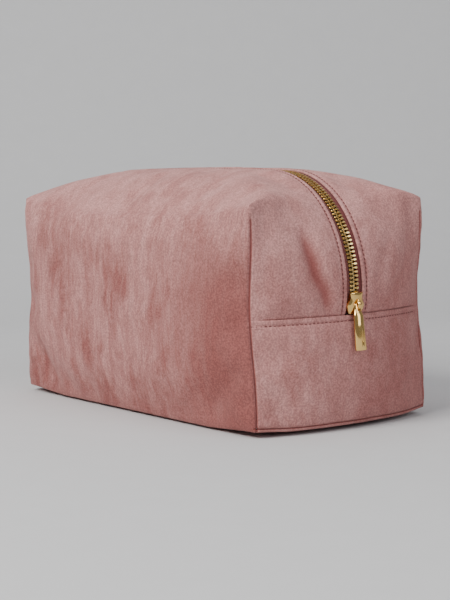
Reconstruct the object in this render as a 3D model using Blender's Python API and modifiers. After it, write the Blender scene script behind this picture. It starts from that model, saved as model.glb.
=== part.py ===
"""Zippered box pouch: suede-look shell, wadding, lining, metal zip, slider and pull.

Run with: blender --background --python part.py
Metres, +Z up. The origin is at the bottom centre of the whole pouch. X runs along
the pouch's length, the zip runs over the top in the plane y = 0, and the closed
slider is at the +X end.

The cloth pieces are cut from one skin, the outer surface of the stuffed pouch. The
skin is a grid on the five cloth-covered sides of a box plus its base, and each piece
is the part of it between some seams, given a thickness at some depth.
"""

import math

import bmesh
import bpy
from mathutils import Vector

# ---- Driving dimensions -------------------------------------------------------------
SEAM_LENGTH = 0.230        # between the vertical corner seams, along X
SEAM_DEPTH = 0.120         # between the vertical corner seams, along Y
CORNER_HEIGHT = 0.1172     # height of the four top corner tips, before the pillow
CROWN_HEIGHT = 0.1377      # height of the zip in the middle of the top
FOLD_HEIGHT = 0.1087       # where the long face starts to turn over into the top
SEAM_HEIGHT = 0.0600       # seam between the lower end panel and the upper cloth

ARC_RADIUS = 0.0616        # the zip's turn from the end over to the top
ARC_INSET = 0.0500         # arc centre, inwards from the corner seams
ARC_HEIGHT = 0.0751        # arc centre, above the base
PANEL_BULGE = 0.0015       # extra bulge of the lower end panel between its seams
FACE_BULGE = 0.0035        # bulge of each long face
TIP_LEAN = 0.0020          # the corner tips lean inwards
FOLD_RISE = 3.8            # how late the fold line climbs towards the corner tips
PILLOW = 0.0067            # how far the stuffed corners swell upwards
PILLOW_PLACE = (0.1105, 0.0480, 0.1210)
PILLOW_WIDTH = (0.0210, 0.0165, 0.0200)
SHOULDER = 0.0033          # how far the top sinks between a corner and the crown
SHOULDER_PLACE = (0.0775, 0.0150)
SHOULDER_WIDTH = 0.0170
SHOULDER_CLEAR = (0.009, 0.012)      # the zip's own strip keeps its height
SHOULDER_RISE = (0.100, 0.020)       # only the top sinks, from this height
CROSS_POWER = 2.1          # how flat the ends and the top are near the zip
ROLL_POWER = 2.05          # how tightly the top rolls over into the long face
ROLL_REACH = 0.24          # share of the length from the corners to the full roll

GAP = 0.0003               # running gap between neighbouring pieces
MERGE = 0.00005            # points nearer than this are one point
CLOTH = 0.0012             # outer cloth thickness
WADDING = 0.0014
LINING = 0.0005
TAPE = 0.0006
WADDING_DEPTH = CLOTH + GAP
LINING_DEPTH = WADDING_DEPTH + WADDING + GAP
TAPE_DEPTH = 0.0016
LIP = 0.0027               # turned edge of the body cloth round the lower end panel

SLOT_HALF = 0.0062         # folded cloth edges, either side of the zip
LINING_SLOT_HALF = 0.0088
TAPE_INNER = 0.0033
TAPE_OUTER = 0.0140
WADDING_SLOT_HALF = TAPE_OUTER + 2 * GAP
STITCH_OFFSET = 0.0081     # topstitching, from the middle of the zip
STITCH_RADIUS = 0.00022

CHAIN_HALF = 0.0030        # outer edge of each row of elements
CHAIN_GAP_HALF = 0.00015
CHAIN_TOP = 0.0007         # depth of the top of the elements under the cloth surface
CHAIN_BOTTOM = 0.0031

SLIDER_ANGLE = math.radians(-7.7)    # closed slider's place on the zip's arc
SLIDER_LENGTH = 0.0112
SLIDER_NECK_HALF = 0.0044
SLIDER_SHOULDER_HALF = 0.0056
WING_TOP = (-0.0002, 0.0013)         # heights of the upper wing over the cloth surface
WING_BOTTOM = (-0.0048, -0.0036)
FLANGE_WIDTH = 0.0009
FLANGE_INSET = 0.0001                # flanges stand just inside the wings' edges
FLANGE_TOP = -0.0011
FLANGE_BOTTOM = -0.0031
BRIDGE_RADIUS = 0.0006
BRIDGE_REACH = 0.0025                # loop's half length and height, at its centre line
BRIDGE_SLIDE = -0.0005               # loop's centre along the slider
BRIDGE_FOOT = WING_TOP[1] + GAP      # height of the loop's feet
PULL_LENGTH = 0.0215                 # from the pivot to the free end
PULL_BACK = 0.0005                   # half thickness of the pull's head
PULL_WINDOW_HALF = 0.0010            # the window that the loop passes through
PULL_WINDOW = (0.0005, 0.0035)       # the window's ends, below the pivot
PULL_SECTIONS = ((-0.0005, 0.0018, 0.0009), (0.0005, 0.0021, 0.0011), (0.0035, 0.0023, 0.0013),
                 (0.0060, 0.0032, 0.0024), (PULL_LENGTH, 0.0037, 0.0026))  # down, half, thick
POST_HALF = 0.0011         # half width of the wedge post between the wings
WING_NOTCH_HALF = 0.0018   # half width of the notch at the wide end

CHAIN_SLIDER_GAP = 0.02    # the chain starts this far round from the slider's middle
CHAIN_STOP_GAP = math.radians(5.5)   # and ends this far above the far end's seam
TOP_STOP_SPAN = (math.radians(0.8), math.radians(2.6))       # above the near end's seam
TOP_STOP_WIDTH = (0.0016, 0.0030)
BOTTOM_STOP_SPAN = (math.radians(1.0), math.radians(4.5))    # above the far end's seam
BOTTOM_STOP_HALF = 0.0029

HEM_STITCH = 0.0024        # stitches under the end panel's top seam
HEM_STITCH_END = 0.965     # share of the half depth that they reach
HEM_STITCH_CLEAR = 0.0001  # extra clearance over the panel's bulge
ZIP_STITCH_START = 0.0020  # the zip's stitches start this far above the seam

HALF_LENGTH = SEAM_LENGTH / 2
HALF_DEPTH = SEAM_DEPTH / 2
CENTRE_SHIFT = -0.00178    # keeps the origin in the middle, slider and pull included
ARC_X = HALF_LENGTH - ARC_INSET
SEAM_ANGLE = math.asin((SEAM_HEIGHT - ARC_HEIGHT) / ARC_RADIUS)
SEAM_REACH = ARC_RADIUS * math.cos(SEAM_ANGLE) - ARC_INSET

# Grid of the skin: how many strips each stretch is divided into.
LOW_ROWS, HIGH_ROWS, ARC_COLUMNS, CROWN_COLUMNS = 3, 5, 4, 3
DEPTH_STEPS = (0.0, 0.18, 0.38, 0.60, 0.80, 0.93, 1.0)

FACE, TOP, END_RIGHT, END_LEFT, BASE = range(5)


# ---- Small helpers ------------------------------------------------------------------
def clear_scene():
    for obj in list(bpy.data.objects):
        bpy.data.objects.remove(obj, do_unlink=True)


def smooth(value):
    value = min(max(value, 0.0), 1.0)
    return value * value * (3 - 2 * value)


def mix(first, second, share):
    return first + (second - first) * share


def make_material(name, colour, roughness, metallic=0.0):
    material = bpy.data.materials.new(name)
    material.use_nodes = True
    shader = material.node_tree.nodes["Principled BSDF"]
    shader.inputs["Base Color"].default_value = (*colour, 1.0)
    shader.inputs["Roughness"].default_value = roughness
    shader.inputs["Metallic"].default_value = metallic
    return material


def add_object(name, mesh, material, collection, is_smooth=True):
    obj = bpy.data.objects.new(name, mesh)
    mesh.materials.clear()
    mesh.materials.append(material)
    for polygon in mesh.polygons:
        polygon.material_index = 0
    if is_smooth:
        mesh.shade_smooth()
        mesh.set_sharp_from_angle(angle=math.radians(35))
    collection.objects.link(obj)
    return obj


def add_pivot(name, place, collection):
    """An empty on a joint's axis, for the pieces that move with it."""
    pivot = bpy.data.objects.new(name, None)
    pivot.empty_display_size = 0.01
    pivot.location = place
    collection.objects.link(pivot)
    return pivot


def hang_on(pivot, names):
    """Parents pieces modelled in place to an empty, without moving them."""
    for name in names:
        piece = bpy.data.objects[name]
        piece.parent = pivot
        piece.location = -pivot.location


# ---- The skin: the pouch's outer surface --------------------------------------------
def end_profile():
    """(seam height share, point on the zip's line) for each row up the +X end."""
    rows = []
    for step in range(LOW_ROWS + 1):
        height = SEAM_HEIGHT * step / LOW_ROWS
        bulge = PANEL_BULGE * math.sin(math.pi * height / SEAM_HEIGHT)
        rows.append((height, HALF_LENGTH + SEAM_REACH + bulge, height))
    for step in range(1, HIGH_ROWS + 1):
        share = step / HIGH_ROWS
        angle = mix(SEAM_ANGLE, math.radians(45), share)
        seam_z = mix(SEAM_HEIGHT, CORNER_HEIGHT, share)
        rows.append((seam_z, *on_arc(angle)))
    return rows


def on_arc(angle, height=0.0):
    """Point of the zip's arc at an angle above the horizontal, raised off the skin."""
    reach = ARC_RADIUS + height
    return ARC_X + reach * math.cos(angle), ARC_HEIGHT + reach * math.sin(angle)


def top_profile():
    """Points of the zip's line from the middle of the turn to the middle of the top."""
    points = [on_arc(math.radians(mix(45, 90, i / ARC_COLUMNS))) for i in range(ARC_COLUMNS + 1)]
    start = points[-1]
    for step in range(1, CROWN_COLUMNS + 1):
        share = step / CROWN_COLUMNS
        lift = (CROWN_HEIGHT - start[1]) * (1 - (1 - share) ** 2)
        points.append((start[0] * (1 - share), start[1] + lift))
    return points


def seam_x(height):
    """The vertical corner seam leans in a little above the lower panel."""
    return HALF_LENGTH - TIP_LEAN * smooth((height - SEAM_HEIGHT) / (CORNER_HEIGHT - SEAM_HEIGHT))


def end_point(row, depth):
    """Point of the +X end at a row and at a share of the half depth."""
    seam_z, zip_x, zip_z = row
    share = depth ** CROSS_POWER
    return mix(zip_x, seam_x(seam_z), share), -depth * HALF_DEPTH, mix(zip_z, seam_z, share)


def column_ratio(zip_x):
    """1 at the corner seam's tip, 0 in the middle of the pouch."""
    return min(1.0, zip_x / top_profile()[0][0])


def fold_line(zip_x):
    """(x, y, z) of the line where the long face turns into the top."""
    ratio = column_ratio(zip_x)
    z = mix(FOLD_HEIGHT, CORNER_HEIGHT, ratio ** FOLD_RISE)
    return ratio * (HALF_LENGTH - TIP_LEAN), -HALF_DEPTH - face_bulge(ratio, z), z


def face_bulge(ratio, height):
    """How far the long face stands out, none at the corner seams or at the base."""
    if not 0 < height < CORNER_HEIGHT:
        return 0.0
    return FACE_BULGE * (1 - ratio ** 2) ** 0.7 * math.sin(math.pi * height / CORNER_HEIGHT) ** 0.8


def top_point(zip_point, depth):
    """Point of the top at a column and at a share of the half depth."""
    zip_x, zip_z = zip_point
    x, y, z = fold_line(zip_x)
    roundness = smooth((1 - column_ratio(zip_x)) / ROLL_REACH)
    share = depth ** CROSS_POWER
    drop = 1 - math.sqrt(1 - depth ** ROLL_POWER)
    return mix(zip_x, x, share), depth * y, mix(zip_z, z, mix(share, drop, roundness))


def swell(x, y, z):
    """How far a point of the skin rises with the corner pillows or sinks at the shoulders."""
    offsets = zip((abs(x), abs(y), z), PILLOW_PLACE, PILLOW_WIDTH)
    rise = PILLOW * math.exp(-sum(((value - middle) / width) ** 2 for value, middle, width in offsets))
    offsets = zip((abs(x), abs(y)), SHOULDER_PLACE)
    near = math.exp(-sum(((value - middle) / SHOULDER_WIDTH) ** 2 for value, middle in offsets))
    clear, fade = SHOULDER_CLEAR
    low, climb = SHOULDER_RISE
    return rise - SHOULDER * near * smooth((z - low) / climb) * smooth((abs(y) - clear) / fade)


def face_point(zip_point, row):
    """Point of the long face under a top column, at a row's height share."""
    ratio = column_ratio(zip_point[0])
    height = fold_line(zip_point[0])[2] * row[0] / CORNER_HEIGHT
    return ratio * seam_x(row[0]), -HALF_DEPTH - face_bulge(ratio, height), height


def base_point(zip_point, depth, row):
    """Point of the flat base under a top column, at a share of the half depth."""
    return column_ratio(zip_point[0]) * end_point(row, depth)[0], -depth * HALF_DEPTH, 0.0


def skin():
    """The front half of the pouch's outer surface, as quads marked with their region."""
    rows = end_profile()
    right = top_profile()
    columns = right + [(-x, z) for x, z in reversed(right[:-1])]
    signs = [1] * len(right) + [-1] * (len(right) - 1)

    def mirrored(maker, column, sign, *rest):
        x, y, z = maker((abs(column[0]), column[1]), *rest)
        return sign * x, y, z

    mesh = bmesh.new()
    region = mesh.faces.layers.int.new("region")

    def add_grid(points, kind):
        verts = [[mesh.verts.new(p) for p in line] for line in points]
        for i in range(len(verts) - 1):
            for j in range(len(verts[0]) - 1):
                corners = [verts[i][j], verts[i + 1][j], verts[i + 1][j + 1], verts[i][j + 1]]
                quad = mesh.faces.new(corners)
                quad[region] = kind

    end = [[end_point(row, depth) for depth in DEPTH_STEPS] for row in rows]
    add_grid(end, END_RIGHT)
    add_grid([[(-x, y, z) for x, y, z in line] for line in end], END_LEFT)
    pairs = list(zip(columns, signs))
    add_grid([[mirrored(top_point, c, s, d) for d in DEPTH_STEPS] for c, s in pairs], TOP)
    add_grid([[mirrored(face_point, c, s, r) for r in rows] for c, s in pairs], FACE)
    add_grid([[mirrored(base_point, c, s, d, rows[0]) for d in DEPTH_STEPS] for c, s in pairs], BASE)
    bmesh.ops.remove_doubles(mesh, verts=mesh.verts, dist=MERGE)
    for vert in mesh.verts:
        vert.co.z += swell(*vert.co)
    bmesh.ops.recalc_face_normals(mesh, faces=mesh.faces)
    if sum(f.normal.z for f in mesh.faces if f[region] == TOP) < 0:
        bmesh.ops.reverse_faces(mesh, faces=mesh.faces)
    return mesh, region


# ---- Cloth pieces -------------------------------------------------------------------
def cloth_piece(name, side, depth, thickness, cuts, keep, material, collection):
    """One layer of one cloth piece: the skin cut at planes, kept where the test says.

    side is -1 for the front half and 1 for the back half, its mirror image. cuts are
    (point, normal) planes of the front half, and keep(region, centre) tests a face.
    """
    mesh, region = skin()
    for point, normal in cuts:
        geometry = mesh.verts[:] + mesh.edges[:] + mesh.faces[:]
        bmesh.ops.bisect_plane(mesh, geom=geometry, dist=1e-6, plane_co=point, plane_no=normal)
    unwanted = [f for f in mesh.faces if not keep(f[region], f.calc_center_median())]
    bmesh.ops.delete(mesh, geom=unwanted, context="FACES")
    if side > 0:
        bmesh.ops.scale(mesh, vec=(1, -1, 1), verts=mesh.verts)
        bmesh.ops.reverse_faces(mesh, faces=mesh.faces)
    bmesh.ops.translate(mesh, vec=(CENTRE_SHIFT, 0, 0), verts=mesh.verts)
    data = bpy.data.meshes.new(name)
    mesh.to_mesh(data)
    mesh.free()
    obj = add_object(name, data, material, collection)
    solidify = obj.modifiers.new("thickness", "SOLIDIFY")
    solidify.thickness = thickness
    solidify.offset = -1 - 2 * depth / thickness
    solidify.use_even_offset = False
    return obj


def level(height):
    return (0, 0, height), (0, 0, 1)


def upright(y):
    return (0, y, 0), (0, 1, 0)


def across(x):
    return (x, 0, 0), (1, 0, 0)


def upper_piece(name, side, depth, thickness, slot, rise, material, collection):
    """Long face, half top and both end wings above the seam, in one cloth."""
    floor = SEAM_HEIGHT + rise

    def keep(region, centre):
        return region != BASE and centre.z > floor and centre.y < -slot

    return cloth_piece(name, side, depth, thickness, [level(floor), upright(-slot)], keep,
                       material, collection)


def lower_piece(name, side, depth, thickness, inset, lip, material, collection):
    """Long face below the seam and half of the base, with the turned lip if asked for.

    The half panels meet at the base's middle seam, and inset keeps an inner layer
    clear of the end panel's own layers. The cuts beside the base's long edge lie
    further in than an inner layer does, so that its walls can't cross there.
    """
    ceiling = SEAM_HEIGHT - GAP / 2
    limit = HALF_LENGTH - inset
    strip = LIP if lip else LINING_DEPTH + LINING + GAP
    lip_y = -HALF_DEPTH + strip
    cuts = [level(ceiling), upright(-GAP / 2), level(strip), upright(lip_y)]
    cuts += [] if lip else [across(limit), across(-limit)]

    def keep(region, centre):
        if region == TOP or centre.z > ceiling or centre.y > -GAP / 2:
            return False
        if region in (END_RIGHT, END_LEFT):
            return lip and (centre.z < LIP or centre.y < lip_y)
        return lip or abs(centre.x) < limit

    return cloth_piece(name, side, depth, thickness, cuts, keep, material, collection)


def end_panel(name, end, depth, thickness, margin, material, collection):
    """Lower end panel, inside the turned lip: both halves of the end, in one cloth."""
    ceiling = SEAM_HEIGHT - GAP / 2
    side_y = -HALF_DEPTH + margin

    def keep(region, centre):
        return region == end and margin < centre.z < ceiling and centre.y > side_y

    cuts = [level(ceiling), level(margin), upright(side_y)]
    obj = cloth_piece(name, -1, depth, thickness, cuts, keep, material, collection)
    mirror = obj.modifiers.new("other_half", "MIRROR")
    mirror.use_axis = (False, True, False)
    mirror.merge_threshold = MERGE
    obj.modifiers.move(1, 0)
    return obj


def make_cloth(collection):
    suede = make_material("suede_cloth", (0.42, 0.21, 0.195), 0.9)
    wadding = make_material("wadding", (0.80, 0.79, 0.76), 1.0)
    satin = make_material("lining_cloth", (0.30, 0.15, 0.15), 0.6)
    for side, word in ((-1, "front"), (1, "back")):
        upper_piece(f"outer_{word}_upper", side, 0, CLOTH, SLOT_HALF, GAP, suede, collection)
        upper_piece(f"interlining_{word}_upper", side, WADDING_DEPTH, WADDING,
                    WADDING_SLOT_HALF, 2 * GAP, wadding, collection)
        upper_piece(f"lining_{word}_upper", side, LINING_DEPTH, LINING, LINING_SLOT_HALF,
                    2 * GAP, satin, collection)
        lower_piece(f"outer_{word}_lower", side, 0, CLOTH, 0, True, suede, collection)
        lower_piece(f"interlining_{word}_lower", side, WADDING_DEPTH, WADDING,
                    WADDING_DEPTH + GAP, False, wadding, collection)
        lower_piece(f"lining_{word}_lower", side, LINING_DEPTH, LINING,
                    LINING_DEPTH + GAP, False, satin, collection)
    for end, word in ((END_RIGHT, "right"), (END_LEFT, "left")):
        end_panel(f"outer_end_{word}", end, 0, CLOTH, LIP + GAP, suede, collection)
        end_panel(f"interlining_end_{word}", end, WADDING_DEPTH, WADDING,
                  LINING_DEPTH + GAP, wadding, collection)
        end_panel(f"lining_end_{word}", end, LINING_DEPTH, LINING,
                  LINING_DEPTH + LINING + 2 * GAP, satin, collection)


# ---- Zip ----------------------------------------------------------------------------
def zip_tape(name, side, material, collection):
    floor = SEAM_HEIGHT + 2 * GAP

    def keep(region, centre):
        is_strip = region in (TOP, END_RIGHT, END_LEFT) and -TAPE_OUTER < centre.y < -TAPE_INNER
        return is_strip and centre.z > floor

    cuts = [level(floor), upright(-TAPE_INNER), upright(-TAPE_OUTER)]
    return cloth_piece(name, side, TAPE_DEPTH, TAPE, cuts, keep, material, collection)


def chain_line(start_angle, end_angle):
    """(x, z, normal angle) along the zip, from the slider's end to the far end."""
    line = []
    turns = 24
    for step in range(turns + 1):
        angle = mix(start_angle, math.radians(90), step / turns)
        line.append((*on_arc(angle), angle))
    line += [(x, z, math.radians(90)) for x, z in top_profile()[ARC_COLUMNS + 1:-1]]
    line.append((0.0, CROWN_HEIGHT, math.radians(90)))
    line += [(-x, z, math.radians(90)) for x, z in reversed(top_profile()[ARC_COLUMNS + 1:-1])]
    for step in range(turns + 1):
        angle = mix(math.radians(90), end_angle, step / turns)
        x, z = on_arc(angle)
        line.append((-x, z, math.pi - angle))
    return line


def sweep_box(name, line, inner, outer, top, bottom, material, collection):
    """A bar of rectangular section along the zip's line, between two y and two depths."""
    mesh = bmesh.new()
    rings = []
    for x, z, angle in line:
        normal = Vector((math.cos(angle), 0, math.sin(angle)))
        at = Vector((x + CENTRE_SHIFT, 0, z))
        corners = [(inner, -top), (outer, -top), (outer, -bottom), (inner, -bottom)]
        rings.append([mesh.verts.new(at + normal * h + Vector((0, y, 0))) for y, h in corners])
    for first, second in zip(rings, rings[1:]):
        for i in range(4):
            j = (i + 1) % 4
            mesh.faces.new([first[i], first[j], second[j], second[i]])
    mesh.faces.new(rings[0][::-1])
    mesh.faces.new(rings[-1])
    bmesh.ops.recalc_face_normals(mesh, faces=mesh.faces)
    data = bpy.data.meshes.new(name)
    mesh.to_mesh(data)
    mesh.free()
    return add_object(name, data, material, collection, is_smooth=False)


def slider_frame():
    """Origin, upward tangent and outward normal of the closed slider."""
    x, z = on_arc(SLIDER_ANGLE)
    tangent = Vector((-math.sin(SLIDER_ANGLE), 0, math.cos(SLIDER_ANGLE)))
    normal = Vector((math.cos(SLIDER_ANGLE), 0, math.sin(SLIDER_ANGLE)))
    return Vector((x + CENTRE_SHIFT, 0, z)), tangent, normal


def in_slider(along, aside, height):
    """World point from the slider's own directions."""
    origin, tangent, normal = slider_frame()
    return origin + tangent * along + Vector((0, aside, 0)) + normal * height


def slider_prism(name, outline, low, high):
    """A flat plate of the slider: an (along, aside) outline between two heights."""
    mesh = bmesh.new()
    base = [mesh.verts.new(in_slider(a, y, low)) for a, y in outline]
    plate = mesh.faces.new(base)
    lifted = bmesh.ops.extrude_face_region(mesh, geom=[plate])["geom"]
    _, _, normal = slider_frame()
    verts = [v for v in lifted if isinstance(v, bmesh.types.BMVert)]
    bmesh.ops.translate(mesh, vec=normal * (high - low), verts=verts)
    bmesh.ops.recalc_face_normals(mesh, faces=mesh.faces)
    data = bpy.data.meshes.new(name)
    mesh.to_mesh(data)
    mesh.free()
    return bpy.data.objects.new(name, data)


def wing_outline():
    """Half-width along the slider: a narrow neck above, wide shoulders below."""
    half = SLIDER_LENGTH / 2
    right = [(half, SLIDER_NECK_HALF * 0.8), (half * 0.75, SLIDER_NECK_HALF),
             (half * 0.1, SLIDER_NECK_HALF), (-half * 0.35, SLIDER_SHOULDER_HALF),
             (-half * 0.85, SLIDER_SHOULDER_HALF), (-half, SLIDER_SHOULDER_HALF * 0.82)]
    notch = [(-half, WING_NOTCH_HALF), (-half * 0.72, 0.0)]
    left = [(a, -y) for a, y in reversed(right + notch[:1])]
    return right + notch + left


def flange_outline(side):
    edge = [(a, y - FLANGE_INSET) for a, y in wing_outline() if y > 0.003][1:5]
    inner = [(a, y - FLANGE_WIDTH) for a, y in reversed(edge)]
    return [(a, side * y) for a, y in edge + inner]


def make_slider(material, collection, helpers):
    """Two wings with side flanges, joined by the wedge-shaped post at the wide end."""
    half = SLIDER_LENGTH / 2
    post = [(-half * 0.10, 0.0), (-half * 0.45, POST_HALF), (-half * 0.70, POST_HALF),
            (-half * 0.70, -POST_HALF), (-half * 0.45, -POST_HALF)]
    overlap = 0.0002
    pieces = [slider_prism("wing_lower", wing_outline(), *WING_BOTTOM),
              slider_prism("post", post, WING_BOTTOM[1] - overlap, WING_TOP[0] + overlap)]
    for side in (-1, 1):
        pieces.append(slider_prism("flange_upper", flange_outline(side), FLANGE_TOP,
                                   WING_TOP[0] + overlap))
        pieces.append(slider_prism("flange_lower", flange_outline(side),
                                   WING_BOTTOM[1] - overlap, FLANGE_BOTTOM))
    body = slider_prism("slider_body", wing_outline(), *WING_TOP)
    body.data.materials.append(material)
    collection.objects.link(body)
    for piece in pieces:
        piece.hide_render = True
        piece.display_type = "WIRE"
        helpers.objects.link(piece)
        union = body.modifiers.new(piece.name, "BOOLEAN")
        union.operation = "UNION"
        union.object = piece
    return body


def tube(name, points, radius, material, collection, resolution=2):
    curve = bpy.data.curves.new(name, "CURVE")
    curve.dimensions = "3D"
    curve.bevel_depth = radius
    curve.bevel_resolution = resolution
    curve.use_fill_caps = True
    spline = curve.splines.new("POLY")
    spline.points.add(len(points) - 1)
    for point, place in zip(spline.points, points):
        point.co = (*place, 1)
    curve.materials.append(material)
    obj = bpy.data.objects.new(name, curve)
    collection.objects.link(obj)
    return obj


def make_bridge(material, collection):
    """The loop on the upper wing that holds the pull."""
    points = []
    for step in range(9):
        angle = math.pi * step / 8
        along = BRIDGE_SLIDE + BRIDGE_REACH * math.cos(angle)
        points.append(in_slider(along, 0, BRIDGE_FOOT + BRIDGE_REACH * math.sin(angle)))
    return tube("slider_bridge", points, BRIDGE_RADIUS, material, collection)


def pull_section(half, thickness):
    """Half-round section of the pull: a flat back and a rounded front, as (out, aside)."""
    ring = [(-PULL_BACK, -half), (-PULL_BACK, half)]
    for step in range(1, 6):
        angle = math.pi * step / 6
        ring.append((-PULL_BACK + thickness * math.sin(angle), half * math.cos(angle)))
    return ring


def make_pull(material, collection, helpers, slider_centre):
    """Half-round bar that hangs from the loop, which passes through its window."""
    pivot = in_slider(BRIDGE_SLIDE, 0, BRIDGE_FOOT + BRIDGE_RADIUS)
    parent = add_pivot("pull_pivot", pivot, collection)
    parent.parent = slider_centre
    parent.location = pivot - slider_centre.location
    mesh = bmesh.new()
    rings = []
    for down, half, thickness in PULL_SECTIONS:
        section = pull_section(half, thickness)
        rings.append([mesh.verts.new((out, aside, -down)) for out, aside in section])
    for first, second in zip(rings, rings[1:]):
        for i in range(len(first)):
            j = (i + 1) % len(first)
            mesh.faces.new([first[i], first[j], second[j], second[i]])
    mesh.faces.new(rings[0])
    mesh.faces.new(rings[-1])
    bmesh.ops.recalc_face_normals(mesh, faces=mesh.faces)
    data = bpy.data.meshes.new("zip_pull")
    mesh.to_mesh(data)
    mesh.free()
    pull = add_object("zip_pull", data, material, collection, is_smooth=False)
    pull.parent = parent
    low, high = PULL_WINDOW
    bpy.ops.mesh.primitive_cube_add(size=1)
    window = bpy.context.object
    window.name = "pull_window"
    window.scale = (0.01, 2 * PULL_WINDOW_HALF, high - low)
    window.location = pivot - Vector((0, 0, (low + high) / 2))
    window.hide_render = True
    window.display_type = "WIRE"
    window.users_collection[0].objects.unlink(window)
    helpers.objects.link(window)
    cut = pull.modifiers.new("window", "BOOLEAN")
    cut.operation = "DIFFERENCE"
    cut.object = window
    return pull


def make_zip(collection, helpers):
    tape_cloth = make_material("zip_tape_cloth", (0.33, 0.12, 0.12), 0.85)
    brass = make_material("polished_brass", (0.83, 0.62, 0.28), 0.25, 1.0)
    teeth = make_material("brass_elements", (0.62, 0.45, 0.22), 0.35, 1.0)
    chain_start = SLIDER_ANGLE + CHAIN_SLIDER_GAP
    chain_end = SEAM_ANGLE + CHAIN_STOP_GAP
    for side, word in ((-1, "front"), (1, "back")):
        zip_tape(f"zip_tape_{word}", side, tape_cloth, collection)
        sweep_box(f"zip_chain_{word}", chain_line(chain_start, chain_end), side * CHAIN_GAP_HALF,
                  side * CHAIN_HALF, CHAIN_TOP, CHAIN_BOTTOM, teeth, collection)
        stop_line = [(*on_arc(SEAM_ANGLE + a), SEAM_ANGLE + a) for a in TOP_STOP_SPAN]
        inner, outer = TOP_STOP_WIDTH
        sweep_box(f"top_stop_{word}", stop_line, side * inner, side * outer, CHAIN_TOP,
                  CHAIN_BOTTOM, brass, collection)
    far_line = []
    for rise in BOTTOM_STOP_SPAN:
        x, z = on_arc(SEAM_ANGLE + rise)
        far_line.append((-x, z, math.pi - SEAM_ANGLE - rise))
    sweep_box("bottom_stop", far_line, -BOTTOM_STOP_HALF, BOTTOM_STOP_HALF, CHAIN_TOP,
              CHAIN_BOTTOM, brass, collection)
    make_slider(brass, collection, helpers)
    make_bridge(brass, collection)
    slider_centre = add_pivot("slider_travel_centre", (ARC_X + CENTRE_SHIFT, 0, ARC_HEIGHT),
                              collection)
    hang_on(slider_centre, ["slider_body", "slider_bridge"])
    make_pull(brass, collection, helpers, slider_centre)


# ---- Topstitching -------------------------------------------------------------------
def make_stitches(collection):
    """Threads beside the zip and under the seams of the lower end panels."""
    thread = make_material("thread", (0.36, 0.17, 0.16), 0.7)
    lift = STITCH_RADIUS + GAP
    depth = STITCH_OFFSET / HALF_DEPTH
    rows = end_profile()[LOW_ROWS:]
    for side, word in ((-1, "front"), (1, "back")):
        points = []
        for index, row in enumerate(rows):
            angle = mix(SEAM_ANGLE, math.radians(45), index / HIGH_ROWS)
            x, _, z = end_point(row, depth)
            points.append((x, z, angle))
        points[0] = (points[0][0], points[0][1] + ZIP_STITCH_START, points[0][2])
        for index, column in enumerate(top_profile()[1:]):
            angle = math.radians(min(90, 45 + 45 * (index + 1) / ARC_COLUMNS))
            x, _, z = top_point(column, depth)
            points.append((x, z, angle))
        whole = [(x, z, a) for x, z, a in points]
        whole += [(-x, z, math.pi - a) for x, z, a in reversed(points[:-1])]
        route = [(x + CENTRE_SHIFT + lift * math.cos(a), side * STITCH_OFFSET,
                  z + lift * math.sin(a)) for x, z, a in whole]
        tube(f"topstitch_{word}", route, STITCH_RADIUS, thread, collection, resolution=1)
    for sign, word in ((1, "right"), (-1, "left")):
        row_z = SEAM_HEIGHT - HEM_STITCH
        bulge = PANEL_BULGE * math.sin(math.pi * row_z / SEAM_HEIGHT)
        row = (row_z, HALF_LENGTH + SEAM_REACH + bulge, row_z)
        half = [end_point(row, depth) for depth in DEPTH_STEPS[:-1]] + [end_point(row, HEM_STITCH_END)]
        line = [(x, y) for x, y, _ in reversed(half)] + [(x, -y) for x, y, _ in half[1:]]
        reach = lift + HEM_STITCH_CLEAR
        route = [(sign * (x + reach) + CENTRE_SHIFT, y, row_z) for x, y in line]
        tube(f"topstitch_end_{word}", route, STITCH_RADIUS, thread, collection, resolution=1)


def main():
    clear_scene()
    pouch = bpy.data.collections.new("zippered_pouch")
    helpers = bpy.data.collections.new("helpers")
    bpy.context.scene.collection.children.link(pouch)
    bpy.context.scene.collection.children.link(helpers)
    make_cloth(pouch)
    make_zip(pouch, helpers)
    make_stitches(pouch)
    for word in ("front", "back"):
        mouth = add_pivot(f"mouth_{word}", (CENTRE_SHIFT, 0, CROWN_HEIGHT), pouch)
        kinds = ("outer_{}_upper", "interlining_{}_upper", "lining_{}_upper", "zip_tape_{}",
                 "zip_chain_{}", "topstitch_{}")
        hang_on(mouth, [kind.format(word) for kind in kinds])


main()
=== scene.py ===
"""Finished look of a zippered box pouch in brushed suede cloth.

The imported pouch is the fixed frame. This script sews the visible pouch round it: two
body cloths with puckered seams, lower end panels with folded and topstitched hems,
wadding and lining, a woven tape with metal elements, a slider and its bar pull. Metres,
+Z up, the pouch's length along X, and the closed slider at the +X end.
"""

from __future__ import annotations

import logging
import math
from dataclasses import dataclass, field
from enum import Enum
from typing import Callable, Sequence

import bmesh
import bpy
from mathutils import Matrix, Vector, noise
from mathutils.bvhtree import BVHTree
from mathutils.kdtree import KDTree


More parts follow.
